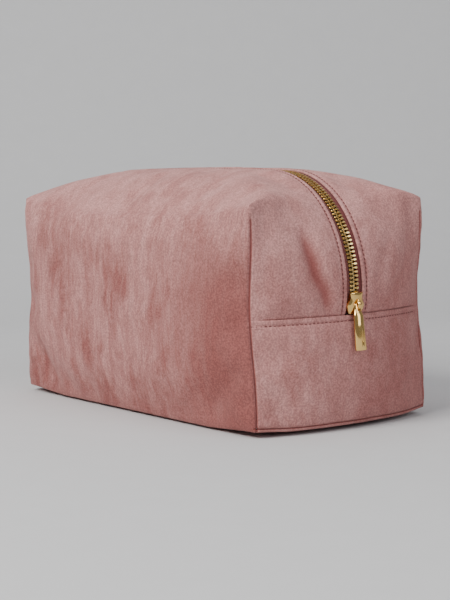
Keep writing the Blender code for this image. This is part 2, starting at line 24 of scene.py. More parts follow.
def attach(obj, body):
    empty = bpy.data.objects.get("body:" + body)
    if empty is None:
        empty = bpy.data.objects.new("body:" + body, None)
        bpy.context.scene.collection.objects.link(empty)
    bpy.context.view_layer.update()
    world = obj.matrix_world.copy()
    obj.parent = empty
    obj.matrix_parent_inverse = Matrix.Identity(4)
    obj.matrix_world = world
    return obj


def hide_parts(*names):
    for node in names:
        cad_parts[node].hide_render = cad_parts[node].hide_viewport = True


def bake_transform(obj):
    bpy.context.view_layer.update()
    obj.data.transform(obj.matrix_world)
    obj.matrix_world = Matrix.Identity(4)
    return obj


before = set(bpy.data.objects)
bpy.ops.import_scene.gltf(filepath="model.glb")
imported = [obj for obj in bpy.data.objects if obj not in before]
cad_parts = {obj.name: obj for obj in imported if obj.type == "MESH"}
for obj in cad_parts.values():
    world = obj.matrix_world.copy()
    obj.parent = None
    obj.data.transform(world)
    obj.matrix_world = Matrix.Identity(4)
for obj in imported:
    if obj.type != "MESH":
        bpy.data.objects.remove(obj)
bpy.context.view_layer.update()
LOG = logging.getLogger("pouch")

REST = "rest_place"     # attribute: where each point of cloth lies on the closed pouch
CREASE = "crease"       # attribute: how deep in a seam or fold the cloth lies, 0 to 1
PLAIN = "plain_place"   # attribute: the same place on the boxy skin, before it softens
OUTWARD = "outward"     # attribute: the way a sewn or clamped piece faces on its route


class Region(Enum):
    """Sides of the pouch's skin."""

    FACE = 0
    TOP = 1
    END_RIGHT = 2
    END_LEFT = 3
    BASE = 4


class Side(Enum):
    """Front or back half of the pouch, by the sign of its y."""

    FRONT = -1
    BACK = 1

    @property
    def word(self) -> str:
        """Name used in the pieces' names."""
        return self.name.lower()

    @property
    def body(self) -> str:
        """Name of the body for this half of the mouth."""
        return f"mouth_{self.word}"


class End(Enum):
    """Right or left end of the pouch, by the sign of its x."""

    RIGHT = 1
    LEFT = -1

    @property
    def word(self) -> str:
        """Name used in the pieces' names."""
        return self.name.lower()

    @property
    def region(self) -> Region:
        """Region of the skin at this end."""
        return Region.END_RIGHT if self is End.RIGHT else Region.END_LEFT


def smooth(value: float) -> float:
    """Smoothstep of a value held between 0 and 1."""
    value = min(max(value, 0.0), 1.0)
    return value * value * (3 - 2 * value)


def mix(first: float, second: float, share: float) -> float:
    """Value at a share of the way from the first to the second."""
    return first + (second - first) * share


def dip(distance: float, width: float) -> float:
    """Bell curve of a distance, 1 at its middle."""
    return math.exp(-((distance / width) ** 2))


def runs(*spans: tuple[float, float, int]) -> list[float]:
    """Rising stations over stretches that follow one another.

    Args:
        spans: (start, stop, strips) of each stretch.

    Returns:
        Every station, the ends of the whole included.
    """
    stations = [spans[0][0]]
    for start, stop, strips in spans:
        stations += [mix(start, stop, (i + 1) / strips) for i in range(strips)]
    return stations


def new_object(name: str, mesh: bpy.types.Mesh) -> bpy.types.Object:
    """Object of a mesh, linked to the scene."""
    obj = bpy.data.objects.new(name, mesh)
    bpy.context.scene.collection.objects.link(obj)
    return obj


def mesh_object(name: str, shape: bmesh.types.BMesh, is_smooth: bool = True) -> bpy.types.Object:
    """Object made from a BMesh, which is freed.

    Args:
        name: The piece's name.
        shape: Its mesh.
        is_smooth: Whether its faces are shaded smooth.

    Returns:
        The linked object.
    """
    mesh = bpy.data.meshes.new(name)
    shape.to_mesh(mesh)
    shape.free()
    if is_smooth:
        mesh.shade_smooth()
    return new_object(name, mesh)


def settled(obj: bpy.types.Object) -> bpy.types.Object:
    """Plain mesh object of an object's evaluated shape, in place of the object."""
    graph = bpy.context.evaluated_depsgraph_get()
    graph.update()
    evaluated = obj.evaluated_get(graph)
    mesh = bpy.data.meshes.new_from_object(evaluated, preserve_all_data_layers=True, depsgraph=graph)
    mesh.transform(obj.matrix_world)
    name = obj.name
    bpy.data.objects.remove(obj, do_unlink=True)
    mesh.name = name
    return new_object(name, mesh)


def dress(obj: bpy.types.Object, material: bpy.types.Material) -> bpy.types.Object:
    """Gives an object one material on all of its faces."""
    obj.data.materials.clear()
    obj.data.materials.append(material)
    obj.data.polygons.foreach_set("material_index", [0] * len(obj.data.polygons))
    return obj


# ---- Form -----------------------------------------------------------------------------
@dataclass(frozen=True)
class PouchForm:
    """Sizes and outer surface of the stuffed pouch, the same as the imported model's."""

    seam_length: float = 0.230
    seam_depth: float = 0.120
    corner_height: float = 0.1172
    crown_height: float = 0.1377
    fold_height: float = 0.1084
    seam_height: float = 0.0600
    arc_radius: float = 0.0616
    arc_inset: float = 0.0500
    arc_height: float = 0.0751
    panel_bulge: float = 0.0015
    face_bulge: float = 0.0035
    tip_lean: float = 0.0008
    waist: float = 0.0050
    waist_height: float = 0.0660
    waist_reach: float = 0.0300
    fold_rise: float = 3.8
    cross_power: float = 2.1
    roll_power: float = 2.05
    roll_reach: float = 0.24
    pillow: float = 0.0056
    pillow_place: tuple[float, float, float] = (0.1105, 0.0480, 0.1210)
    pillow_width: tuple[float, float, float] = (0.0225, 0.0180, 0.0200)
    shoulder: float = 0.0033
    shoulder_place: tuple[float, float] = (0.0775, 0.0150)
    shoulder_width: float = 0.0170
    centre_shift: float = -0.00178
    cloth: float = 0.0007
    lip: float = 0.0027
    side_inset: float = 0.0019
    slot_half: float = 0.0060
    stitch_offset: float = 0.0081
    hem_stitch: float = 0.0024

    @property
    def half_length(self) -> float:
        """Corner seams' distance from the middle, along X."""
        return self.seam_length / 2

    @property
    def half_depth(self) -> float:
        """Corner seams' distance from the middle, along Y."""
        return self.seam_depth / 2

    @property
    def arc_x(self) -> float:
        """X of the centre of the zip's turn at the right end."""
        return self.half_length - self.arc_inset

    @property
    def seam_angle(self) -> float:
        """Place on the zip's turn of the end panel's top seam."""
        return math.asin((self.seam_height - self.arc_height) / self.arc_radius)

    @property
    def seam_reach(self) -> float:
        """How far the zip stands out past the corner seams at the end panel's top."""
        return self.arc_radius * math.cos(self.seam_angle) - self.arc_inset

    def on_arc(self, angle: float, height: float = 0.0) -> tuple[float, float]:
        """(x, z) on the zip's turn at an angle above the horizontal, raised by a height."""
        reach = self.arc_radius + height
        return self.arc_x + reach * math.cos(angle), self.arc_height + reach * math.sin(angle)

    def end_row(self, rise: float) -> tuple[float, float, float]:
        """(seam height, zip x, zip z) of the end's row whose corner seam is at a height."""
        if rise <= self.seam_height:
            bulge = self.panel_bulge * math.sin(math.pi * rise / self.seam_height)
            return rise, self.half_length + self.seam_reach + bulge, rise
        share = (rise - self.seam_height) / (self.corner_height - self.seam_height)
        return rise, *self.on_arc(mix(self.seam_angle, math.radians(45), share))

    def top_column(self, turn: float) -> tuple[float, float]:
        """(x, z) on the zip's line: turn 0 to 1 is the upper arc, 1 to 2 the crown."""
        if turn <= 1:
            return self.on_arc(math.radians(mix(45, 90, turn)))
        x, z = self.on_arc(math.radians(90))
        share = turn - 1
        return x * (1 - share), z + (self.crown_height - z) * (1 - (1 - share) ** 2)

    def seam_x(self, height: float) -> float:
        """X of the vertical corner seam, pulled in most where the end panel's hem meets it."""
        rise = (height - self.seam_height) / (self.corner_height - self.seam_height)
        waist = self.waist * dip(height - self.waist_height, self.waist_reach)
        return self.half_length - self.tip_lean * smooth(rise) - waist

    def end_point(self, rise: float, depth: float) -> Vector:
        """Point of the right end, front half, at a row and a share of the half depth."""
        seam_z, zip_x, zip_z = self.end_row(rise)
        share = depth ** self.cross_power
        x = mix(zip_x, self.seam_x(seam_z), share)
        return Vector((x, -depth * self.half_depth, mix(zip_z, seam_z, share)))

    def column_ratio(self, zip_x: float) -> float:
        """1 at the corner seam's tip, 0 in the middle of the pouch."""
        return min(1.0, zip_x / self.top_column(0)[0])

    def bulge(self, ratio: float, height: float) -> float:
        """How far the long face stands out at a column's ratio and a height."""
        if not 0 < height < self.corner_height:
            return 0.0
        rise = math.sin(math.pi * height / self.corner_height) ** 0.8
        return self.face_bulge * (1 - ratio ** 2) ** 0.7 * rise

    def fold_line(self, zip_x: float) -> tuple[float, float, float]:
        """(x, y, z) of the line where the long face turns into the top."""
        ratio = self.column_ratio(zip_x)
        z = mix(self.fold_height, self.corner_height, ratio ** self.fold_rise)
        x = ratio * self.seam_x(self.corner_height)
        return x, -self.half_depth - self.bulge(ratio, z), z

    def top_point(self, turn: float, depth: float) -> Vector:
        """Point of the top, front half, at a column and a share of the half depth."""
        zip_x, zip_z = self.top_column(turn)
        x, y, z = self.fold_line(zip_x)
        roundness = smooth((1 - self.column_ratio(zip_x)) / self.roll_reach)
        share = depth ** self.cross_power
        drop = 1 - math.sqrt(1 - depth ** self.roll_power)
        return Vector((mix(zip_x, x, share), depth * y, mix(zip_z, z, mix(share, drop, roundness))))

    def face_point(self, turn: float, rise: float) -> Vector:
        """Point of the long face, front half, under a top column at a height share."""
        zip_x = self.top_column(turn)[0]
        ratio = self.column_ratio(zip_x)
        height = self.fold_line(zip_x)[2] * rise / self.corner_height
        return Vector((ratio * self.seam_x(rise), -self.half_depth - self.bulge(ratio, height), height))

    def base_point(self, turn: float, depth: float) -> Vector:
        """Point of the flat base, front half, under a top column."""
        ratio = self.column_ratio(self.top_column(turn)[0])
        return Vector((ratio * self.end_point(0.0, depth).x, -depth * self.half_depth, 0.0))

    def rise_at(self, point: Vector) -> float:
        """How far a point rises with the corner pillows or sinks at the shoulders."""
        x, y, z = abs(point.x), abs(point.y), point.z
        parts = zip((x, y, z), self.pillow_place, self.pillow_width)
        rise = self.pillow * math.exp(-sum(((at - middle) / width) ** 2 for at, middle, width in parts))
        near = dip(math.dist((x, y), self.shoulder_place), self.shoulder_width)
        clear = smooth((z - 0.10) / 0.02) * smooth((y - 0.009) / 0.012)
        return rise - self.shoulder * near * clear


@dataclass(frozen=True)
class Cut:
    """How finely a layer's skin is divided, as stations in metres or turns."""

    rises: list[float]
    turns: list[float]
    asides: list[float]

    @staticmethod
    def fine(form: PouchForm) -> Cut:
        """Stations of the outer cloth, close together at its seams."""
        tip, seam = form.corner_height, form.seam_height
        inset = form.half_depth - form.side_inset
        rises = runs((0, form.lip, 6), (form.lip, 0.0065, 7), (0.0065, seam - 0.005, 27),
                     (seam - 0.005, seam, 10), (seam, seam + 0.005, 9),
                     (seam + 0.005, tip - 0.005, 29), (tip - 0.005, tip, 8))
        turns = runs((0, 0.12, 10), (0.12, 1, 24), (1, 2, 36))
        asides = runs((0, form.slot_half, 4), (form.slot_half, 0.0115, 12), (0.0115, 0.054, 25),
                      (0.054, inset, 10), (inset, form.half_depth, 4))
        return Cut(rises, turns, asides)

    @staticmethod
    def coarse(form: PouchForm) -> Cut:
        """Stations of the inner layers."""
        seam = form.seam_height
        rises = runs((0, 0.008, 4), (0.008, seam, 16), (seam, form.corner_height, 20))
        turns = runs((0, 1, 16), (1, 2, 20))
        asides = runs((0, 0.0088, 2), (0.0088, 0.0146, 3), (0.0146, 0.053, 13),
                      (0.053, form.half_depth, 5))
        return Cut(rises, turns, asides)


Keep = Callable[[Region, float, float], bool]


@dataclass(frozen=True)
class Softening:
    """Where each place of the boxy skin moves once its corners and rims are round."""

    form: PouchForm
    places: KDTree
    moves: list[Vector]
    tip: float = 0.0038
    rim: float = 0.0040
    corner: float = 0.0024

    @staticmethod
    def make(form: PouchForm) -> Softening:
        """Works the moves out once, on the front right quarter."""
        mesh = bmesh.new()
        wanted = mesh.faces.layers.int.new("wanted")
        Skin.add_quarter(form, mesh, wanted, Cut.fine(form), Side.FRONT, 1, lambda *cell: True)
        bmesh.ops.remove_doubles(mesh, verts=mesh.verts, dist=2e-5)
        plain = [vert.co.copy() for vert in mesh.verts]
        for vert in mesh.verts:
            vert.co.z += form.rise_at(vert.co)
        near, known = KDTree(len(plain)), KDTree(len(plain))
        for index, vert in enumerate(mesh.verts):
            near.insert(vert.co, index)
            known.insert(plain[index], index)
        near.balance()
        known.balance()
        areas = [sum(face.calc_area() for face in vert.link_faces) / 4 for vert in mesh.verts]
        raised = [vert.co.copy() for vert in mesh.verts]
        mesh.free()
        softening = Softening(form, known, [])
        for place, start in zip(plain, raised):
            softening.moves.append(softening._rounded(place, start, near, raised, areas) - place)
        return softening

    def _reach(self, place: Vector) -> float:
        """Radius within which the skin is averaged at a place, 0 away from its edges."""
        form = self.form
        x, y, z = abs(place.x), abs(place.y), place.z
        tip = smooth((z - 0.100) / 0.015) * smooth((x - 0.080) / 0.020) * smooth((y - 0.015) / 0.020)
        tip *= 1 + 1.00 * smooth((form.half_depth - 0.004 - y) / 0.012)
        corner = math.hypot(x - form.seam_x(z), y - form.half_depth)
        edge = z
        if z < 1e-5:
            edge = min(form.half_depth - y, form.end_point(0.0, min(1.0, y / form.half_depth)).x - x)
        return max(self.tip * tip, self.corner * smooth((0.0048 - corner) / 0.0015),
                   self.rim * smooth((0.0080 - edge) / 0.0025))

    def _rounded(self, place: Vector, start: Vector, near: KDTree, raised: list[Vector],
                 areas: list[float]) -> Vector:
        """Average of the raised skin round a point, weighted towards it."""
        reach = self._reach(place)
        if reach < 0.0004:
            return start
        total, middle = 0.0, Vector((0, 0, 0))
        for co, index, distance in near.find_range(start, reach):
            weight = areas[index] * (1 - (distance / reach) ** 2) ** 2
            total += weight
            middle += raised[index] * weight
        middle /= total
        if abs(place.y) < 0.012:
            middle.y = start.y
        if abs(place.x) < 0.012:
            middle.x = start.x
        return middle

    def move(self, point: Vector) -> Vector:
        """Movement of any point of the boxy skin."""
        quarter = Vector((abs(point.x), -abs(point.y), point.z))
        found = self.places.find_n(quarter, 4)
        if found[0][2] < 1e-5:
            mean = self.moves[found[0][1]].copy()
        else:
            weights = [1 / (distance + 1e-5) for _, _, distance in found]
            mean = sum((self.moves[index] * weight for (_, index, _), weight in zip(found, weights)),
                       Vector((0, 0, 0))) / sum(weights)
        mean.x *= math.copysign(1, point.x)
        mean.y *= -math.copysign(1, point.y)
        return mean


@dataclass(frozen=True)
class Skin:
    """Grids of the pouch's outer surface, from which every layer of cloth is cut."""

    form: PouchForm
    softening: Softening

    def sheet(self, cut: Cut, sides: Sequence[Side], keep: Keep) -> bmesh.types.BMesh:
        """Surface of one piece of cloth, not yet shaped by its seams.

        Args:
            cut: Stations of the grids.
            sides: Halves of the pouch that the piece covers.
            keep: Whether the piece has the cell of a region at a rise and an aside.

        Returns:
            Mesh whose vertex layer "outward" holds the skin's normal at each point.
        """
        mesh = bmesh.new()
        wanted = mesh.faces.layers.int.new("wanted")
        for side in sides:
            for sign in (1, -1):
                self.add_quarter(self.form, mesh, wanted, cut, side, sign, keep)
        bmesh.ops.remove_doubles(mesh, verts=mesh.verts, dist=2e-5)
        bmesh.ops.recalc_face_normals(mesh, faces=mesh.faces)
        inside = Vector((0, 0, self.form.seam_height))
        if sum(f.normal.dot(f.calc_center_median() - inside) * f.calc_area() for f in mesh.faces) < 0:
            bmesh.ops.reverse_faces(mesh, faces=mesh.faces)
        outward = mesh.verts.layers.float_vector.new("outward")
        plain = mesh.verts.layers.float_vector.new(PLAIN)
        for vert in mesh.verts:
            vert[plain] = vert.co
            vert.co += self.softening.move(vert.co)
        mesh.normal_update()
        for vert in mesh.verts:
            normal = vert.normal.copy()
            if abs(vert.co.y) < 1e-6:
                normal.y = 0
            vert[outward] = normal.normalized()
        unwanted = [face for face in mesh.faces if not face[wanted]]
        bmesh.ops.delete(mesh, geom=unwanted, context="FACES")
        return mesh

    @staticmethod
    def add_quarter(form: PouchForm, mesh: bmesh.types.BMesh, wanted: bmesh.types.BMLayerItem,
                    cut: Cut, side: Side, sign: int, keep: Keep) -> None:
        """Adds the four grids of one quarter of the boxy skin.

        Args:
            form: The pouch's sizes.
            mesh: Mesh that takes them.
            wanted: Face layer that says which cells stay.
            cut: Stations of the grids.
            side: Front or back half.
            sign: 1 for the right half of the length, -1 for the left.
            keep: Test of a cell.
        """
        depths = [aside / form.half_depth for aside in cut.asides]
        end = Region.END_RIGHT if sign > 0 else Region.END_LEFT
        for region, first, second, place in (
                (end, cut.rises, cut.asides, lambda i, j: form.end_point(cut.rises[i], depths[j])),
                (Region.TOP, cut.turns, cut.asides, lambda i, j: form.top_point(cut.turns[i], depths[j])),
                (Region.BASE, cut.turns, cut.asides, lambda i, j: form.base_point(cut.turns[i], depths[j])),
                (Region.FACE, cut.turns, cut.rises,
                 lambda i, j: form.face_point(cut.turns[i], cut.rises[j]))):
            Skin._grid(mesh, wanted, keep, region, side, sign, first, second, place)

    @staticmethod
    def _grid(mesh: bmesh.types.BMesh, wanted: bmesh.types.BMLayerItem, keep: Keep, region: Region,
              side: Side, sign: int, first: Sequence[float], second: Sequence[float],
              place: Callable[[int, int], Vector]) -> None:
        """Adds one grid of the skin.

        Args:
            mesh: Mesh that takes it.
            wanted: Face layer that says which cells stay.
            keep: Test of a cell.
            region: Side of the pouch.
            side: Front or back half.
            sign: 1 for the right half of the length, -1 for the left.
            first: Stations of the rows.
            second: Stations within a row.
            place: Point of the front right quarter at two indices.
        """
        def put(i: int, j: int) -> bmesh.types.BMVert:
            point = place(i, j)
            return mesh.verts.new((sign * point.x, -side.value * point.y, point.z))

        verts = [[put(i, j) for j in range(len(second))] for i in range(len(first))]
        for i in range(len(first) - 1):
            for j in range(len(second) - 1):
                corners = [verts[i][j], verts[i + 1][j], verts[i + 1][j + 1], verts[i][j + 1]]
                quad = mesh.faces.new(corners)
                middle = (second[j] + second[j + 1]) / 2
                rise = (first[i] + first[i + 1]) / 2
                if region is Region.FACE:
                    rise, middle = middle, math.inf
                quad[wanted] = int(keep(region, rise, middle))


@dataclass(frozen=True)
class Fold:
    """A soft valley in the cloth along a line, in the plane that the region faces."""

    line: tuple[tuple[float, float], ...]
    width: float
    depth: float

    def at(self, u: float, v: float) -> float:
        """Depth of the valley at a place, fading out past both ends."""
        best = math.inf
        for (u0, v0), (u1, v1) in zip(self.line, self.line[1:]):
            du, dv = u1 - u0, v1 - v0
            share = min(max(((u - u0) * du + (v - v0) * dv) / (du * du + dv * dv), 0), 1)
            best = min(best, math.hypot(u - u0 - share * du, v - v0 - share * dv))
        return self.depth * dip(best, self.width)


@dataclass(frozen=True)
class Relief:
    """Seams, puckers, folds and slack that shape the cloth over the skin."""

    form: PouchForm
    groove: float = 0.0009
    groove_width: float = 0.00055
    stitch_groove: float = 0.0005
    slack: float = 0.0011
    slack_scale: float = 24.0
    pucker: float = 0.00035
    lift_end: float = 0.0021
    lift_face: float = 0.0010
    folds: tuple[tuple[int, int, Fold], ...] = (
        (1, -1, Fold(((-0.0275, 0.1040), (-0.0265, 0.0970), (-0.0240, 0.0830), (-0.0190, 0.0735),
                      (-0.0160, 0.0640), (-0.0155, 0.0600)), 0.0046, 0.0034)),
        (1, -1, Fold(((-0.0470, 0.080), (-0.0400, 0.070), (-0.0300, 0.0635)), 0.0040, 0.0006)),
        (1, 1, Fold(((0.0090, 0.0625), (0.0258, 0.067), (0.0405, 0.082), (0.0458, 0.098)),
                    0.0050, 0.0012)),
        (1, 1, Fold(((0.0130, 0.0660), (0.0180, 0.082), (0.0300, 0.100)), 0.0040, 0.0007)),
        (-1, 1, Fold(((0.0330, 0.112), (0.0300, 0.092), (0.0180, 0.071), (0.0120, 0.0625)),
                     0.0040, 0.0014)),
        (-1, -1, Fold(((-0.0100, 0.0630), (-0.0240, 0.070), (-0.0420, 0.088)), 0.0045, 0.0012)),
    )

    def seam_depth(self, point: Vector) -> float:
        """How deep the sewn seams and their rounded edges pull the cloth in at a point."""
        form = self.form
        x, y, z = abs(point.x), abs(point.y), point.z
        below_tip = smooth((form.corner_height - z) / 0.010)
        drop = 0.0
        is_end = x > form.seam_x(z) - 1e-5 and y < form.half_depth
        if is_end:
            inset = y - (form.half_depth - form.side_inset)
            drop += self.groove * dip(inset, self.groove_width) * (0.25 + 0.75 * below_tip)
            if z < form.seam_height:
                drop += self.groove * dip(z - form.lip, self.groove_width)
        if z < 1e-5:
            drop += self.groove * dip(y, self.groove_width)
        is_top = z > form.fold_height and y < form.half_depth - 0.004
        if is_top or (is_end and z > form.seam_height):
            drop += self.stitch_groove * dip(y - form.stitch_offset, 0.0007)
        return drop

    def slack_at(self, point: Vector) -> float:
        """Soft dents and swells of the stuffed cloth, none right at the seams."""
        form = self.form
        x, y, z = abs(point.x), abs(point.y), point.z
        corner = math.hypot(x - form.seam_x(z), y - form.half_depth)
        free = min(corner, z, max(y - form.slot_half, 0.0) if z > form.seam_height else 1.0)
        if x > form.half_length - 0.003:
            free = min(free, abs(z - form.seam_height))
        wide = noise.fractal(point * self.slack_scale, 1.0, 2.0, 2)
        return self.slack * wide * smooth(free / 0.016)

    def pucker_at(self, point: Vector) -> float:
        """Small ripples that run out from the sewn seams."""
        form = self.form
        x, y, z = abs(point.x), abs(point.y), point.z
        corner = math.hypot(x - form.seam_x(z), y - form.half_depth)
        near = math.exp(-corner / 0.006)
        if x > form.half_length - 0.001 and y < form.half_depth:
            near += math.exp(-abs(z - form.seam_height) / 0.005)
        if z > form.seam_height:
            near += 0.6 * math.exp(-abs(y - form.stitch_offset) / 0.005)
        ripple = noise.noise(Vector((point.x * 150, point.y * 150, point.z * 130)))
        calm = smooth((form.corner_height + 0.004 - z) / 0.020)
        return self.pucker * ripple * min(near, 1.2) * (0.35 + 0.65 * calm)

    def fold_depth(self, point: Vector) -> float:
        """Depth of the named folds on the ends at a point."""
        form = self.form
        if abs(point.x) < form.half_length - 0.012 or point.z < form.seam_height - 0.002:
            return 0.0
        total = 0.0
        for end, side, fold in self.folds:
            if end * point.x > 0 and side * point.y > 0:
                total += fold.at(point.y, point.z)
        return total * smooth((point.z - form.seam_height + 0.002) / 0.014) * smooth(
            (abs(point.y) - form.stitch_offset) / 0.010) * smooth((0.112 - point.z) / 0.018)

    def lift(self, point: Vector) -> float:
        """How far the base's rim stands off the ground, most at the ends."""
        form = self.form
        reach = smooth((abs(point.x) - 0.070) / 0.045) * self.lift_end
        reach += smooth((abs(point.y) - 0.035) / 0.025) * self.lift_face
        return reach * max(0.0, 1 - point.z / 0.030) ** 2

    def shape(self, mesh: bmesh.types.BMesh, with_seams: bool, extra: Callable[[Vector], float],
              swell: Callable[[Vector], Vector]) -> None:
        """Moves every point of a cloth from the skin to where the sewn cloth lies.

        Args:
            mesh: The cloth, with its "outward" layer. Its rest and crease layers are made.
            with_seams: Whether the seams' narrow grooves are pressed in as well.
            extra: Height added at a point of the skin, such as a hem's.
            swell: Movement of a point of the skin from the stuffing.
        """
        outward = mesh.verts.layers.float_vector["outward"]
        plain = mesh.verts.layers.float_vector[PLAIN]
        rest = mesh.verts.layers.float_vector.new(REST)
        crease = mesh.verts.layers.float.new(CREASE)
        for vert in mesh.verts:
            place = Vector(vert[plain])
            normal = Vector(vert[outward])
            fold = self.fold_depth(place)
            seam = self.seam_depth(place) if with_seams else 0.0
            height = extra(place) - fold - seam + self.slack_at(place) + self.pucker_at(place)
            vert[crease] = min(1.0, 230 * fold + 1500 * max(0.0, seam - 0.0001))
            vert.co += normal * height + Vector((0, 0, self.lift(place))) + swell(place)
            vert.co.x += self.form.centre_shift
            vert[rest] = vert.co


@dataclass
class Stuffing:
    """Cloth simulation that swells a coarse pouch between its seams."""

    form: PouchForm
    skin: Skin
    pressure: float = 4.0
    spare: float = 0.012
    frames: int = 20
    cap: float = 0.0035
    places: KDTree | None = None
    moves: list[Vector] = field(default_factory=list)

    def run(self) -> None:
        """Simulates the swelling once."""
        form = self.form
        cut = Cut(runs((0, form.seam_height, 11), (form.seam_height, form.corner_height, 12)),
                  runs((0, 1, 10), (1, 2, 13)), runs((0, 0.0085, 2), (0.0085, form.half_depth, 11)))
        mesh = self.skin.sheet(cut, list(Side), lambda region, rise, aside: True)
        obj = mesh_object("stuffing", mesh)
        plain = [Vector(item.vector) for item in obj.data.attributes[PLAIN].data]
        group = obj.vertex_groups.new(name="sewn")
        for index, place in enumerate(plain):
            group.add([index], self._hold(place), "REPLACE")
        cloth = obj.modifiers.new("cloth", "CLOTH")
        settings = cloth.settings
        settings.vertex_group_mass = "sewn"
        settings.quality = 6
        settings.mass = 0.25
        settings.tension_stiffness = 25
        settings.compression_stiffness = 25
        settings.shear_stiffness = 8
        settings.bending_stiffness = 0.6
        settings.shrink_min = -self.spare
        settings.use_pressure = True
        settings.uniform_pressure_force = self.pressure
        settings.effector_weights.gravity = 0
        cloth.point_cache.frame_start = 1
        cloth.point_cache.frame_end = self.frames
        scene = bpy.context.scene
        before = [vert.co.copy() for vert in obj.data.vertices]
        for frame in range(1, self.frames + 1):
            scene.frame_set(frame)
        after = obj.evaluated_get(bpy.context.evaluated_depsgraph_get()).data
        self.places = KDTree(len(before))
        for index, (start, vert) in enumerate(zip(before, after.vertices)):
            move = vert.co - start
            if move.length > self.cap:
                move = move * (self.cap / move.length)
            self.moves.append(move)
            self.places.insert(plain[index], index)
        self.places.balance()
        scene.frame_set(1)
        bpy.data.objects.remove(obj, do_unlink=True)
        LOG.info("stuffing moved the cloth by up to %.1f mm", 1000 * max(m.length for m in self.moves))

    def _hold(self, point: Vector) -> float:
        """How firmly the seams, the slot and the base hold a point, 0 to 1."""
        form = self.form
        x, y, z = abs(point.x), abs(point.y), point.z
        corner = math.hypot(x - form.seam_x(min(z, form.corner_height)), y - form.half_depth)
        if z < 1e-5 or corner < 0.001 and z < form.corner_height:
            return 1.0
        if z > form.seam_height - 1e-5 and y < 0.0090:
            return 1.0
        if x > form.half_length - 0.004 and abs(z - form.seam_height) < 1e-4:
            return 1.0
        return 0.0

    def swell(self, point: Vector) -> Vector:
        """Movement of a point of the skin, blended from the simulated points near it."""
        if self.places is None:
            return Vector((0, 0, 0))
        total, move = 0.0, Vector((0, 0, 0))
        for _, index, distance in self.places.find_n(point, 7):
            weight = dip(distance, 0.0042) + 1e-9
            total += weight
            move += self.moves[index] * weight
        return move / total


def curl(mesh: bmesh.types.BMesh, is_edge: Callable[[Vector], bool], way: Callable[[Vector], Vector],
         radius: float, turns: int = 4, sweep: float = 165.0) -> None:
    """Turns an open edge of a cloth down and under, as a folded hem.

    Args:
        mesh: The cloth, with its "outward" layer.
        is_edge: Whether the edge runs through a point.
        way: Direction from the cloth to its edge at a point.
        radius: Radius of the fold.
        turns: Strips round it.
        sweep: How far it turns, in degrees.
    """
    outward = mesh.verts.layers.float_vector["outward"]
    edges = [e for e in mesh.edges if e.is_boundary and all(is_edge(v.co) for v in e.verts)]
    lines = {tuple(v.co): (v.co.copy(), Vector(v[outward]), way(v.co)) for e in edges for v in e.verts}
    for step in range(1, turns + 1):
        angle = math.radians(sweep * step / turns)
        made = bmesh.ops.extrude_edge_only(mesh, edges=edges)["geom"]
        moved = {}
        for vert in (g for g in made if isinstance(g, bmesh.types.BMVert)):
            start, normal, ahead = lines[tuple(vert.co)]
            vert.co = (start + ahead * (radius * math.sin(angle))
                       - normal * (radius * (1 - math.cos(angle))))
            moved[tuple(vert.co)] = (start, normal, ahead)
        lines = moved
        edges = [g for g in made if isinstance(g, bmesh.types.BMEdge)]


# ---- Finishes -------------------------------------------------------------------------
class Tree:
    """Shorthand for building a node tree, a material's or a group's."""

    def __init__(self, tree: bpy.types.NodeTree) -> None:
        """Starts on an existing tree."""
        self.tree = tree

    def add(self, kind: str, values: dict[str, object] | None = None, **settings: object) -> bpy.types.Node:
        """Adds a node.

        Args:
            kind: Its type's name, without the "ShaderNode" in front for a shader's.
            values: Default values of its inputs, by name.
            settings: Its properties.

        Returns:
            The node.
        """
        is_full = kind.startswith(("Node", "Geometry", "Function"))
        node = self.tree.nodes.new(kind if is_full else f"ShaderNode{kind}")
        for name, value in settings.items():
            setattr(node, name, value)
        for name, value in (values or {}).items():
            node.inputs[name].default_value = value
        return node

    def join(self, source: bpy.types.NodeSocket, target: bpy.types.NodeSocket) -> None:
        """Links an output to an input."""
        self.tree.links.new(source, target)

    def blend(self, share: bpy.types.NodeSocket, first: object, second: object,
              way: str = "MIX") -> bpy.types.NodeSocket:
        """Mixes two colours, each a socket or a value, by a mask.

        Args:
            share: The mask.
            first: Colour where the mask is 0.
            second: Colour where it is 1.
            way: Blend type.

        Returns:
            The mixed colour.
        """
        node = self.add("Mix", data_type="RGBA", blend_type=way)
        self.join(share, node.inputs[0])
        for socket, value in ((node.inputs[6], first), (node.inputs[7], second)):
            if isinstance(value, bpy.types.NodeSocket):
                self.join(value, socket)
            else:
                socket.default_value = (*value, 1)
        return node.outputs[2]

    def sum(self, operation: str, first: object, second: object) -> bpy.types.NodeSocket:
        """Result of a Math node on two sockets or numbers."""
        node = self.add("Math", operation=operation)
        for socket, value in zip(node.inputs, (first, second)):
            if isinstance(value, bpy.types.NodeSocket):
                self.join(value, socket)
            else:
                socket.default_value = value
        return node.outputs[0]

    def range(self, value: bpy.types.NodeSocket, low: float, high: float,
              out_low: float = 0.0, out_high: float = 1.0) -> bpy.types.NodeSocket:
        """Maps a value's span onto another, held at both ends and eased."""
        node = self.add("MapRange", {"From Min": low, "From Max": high, "To Min": out_low,
                                     "To Max": out_high}, interpolation_type="SMOOTHSTEP")
        self.join(value, node.inputs["Value"])
        return node.outputs["Result"]


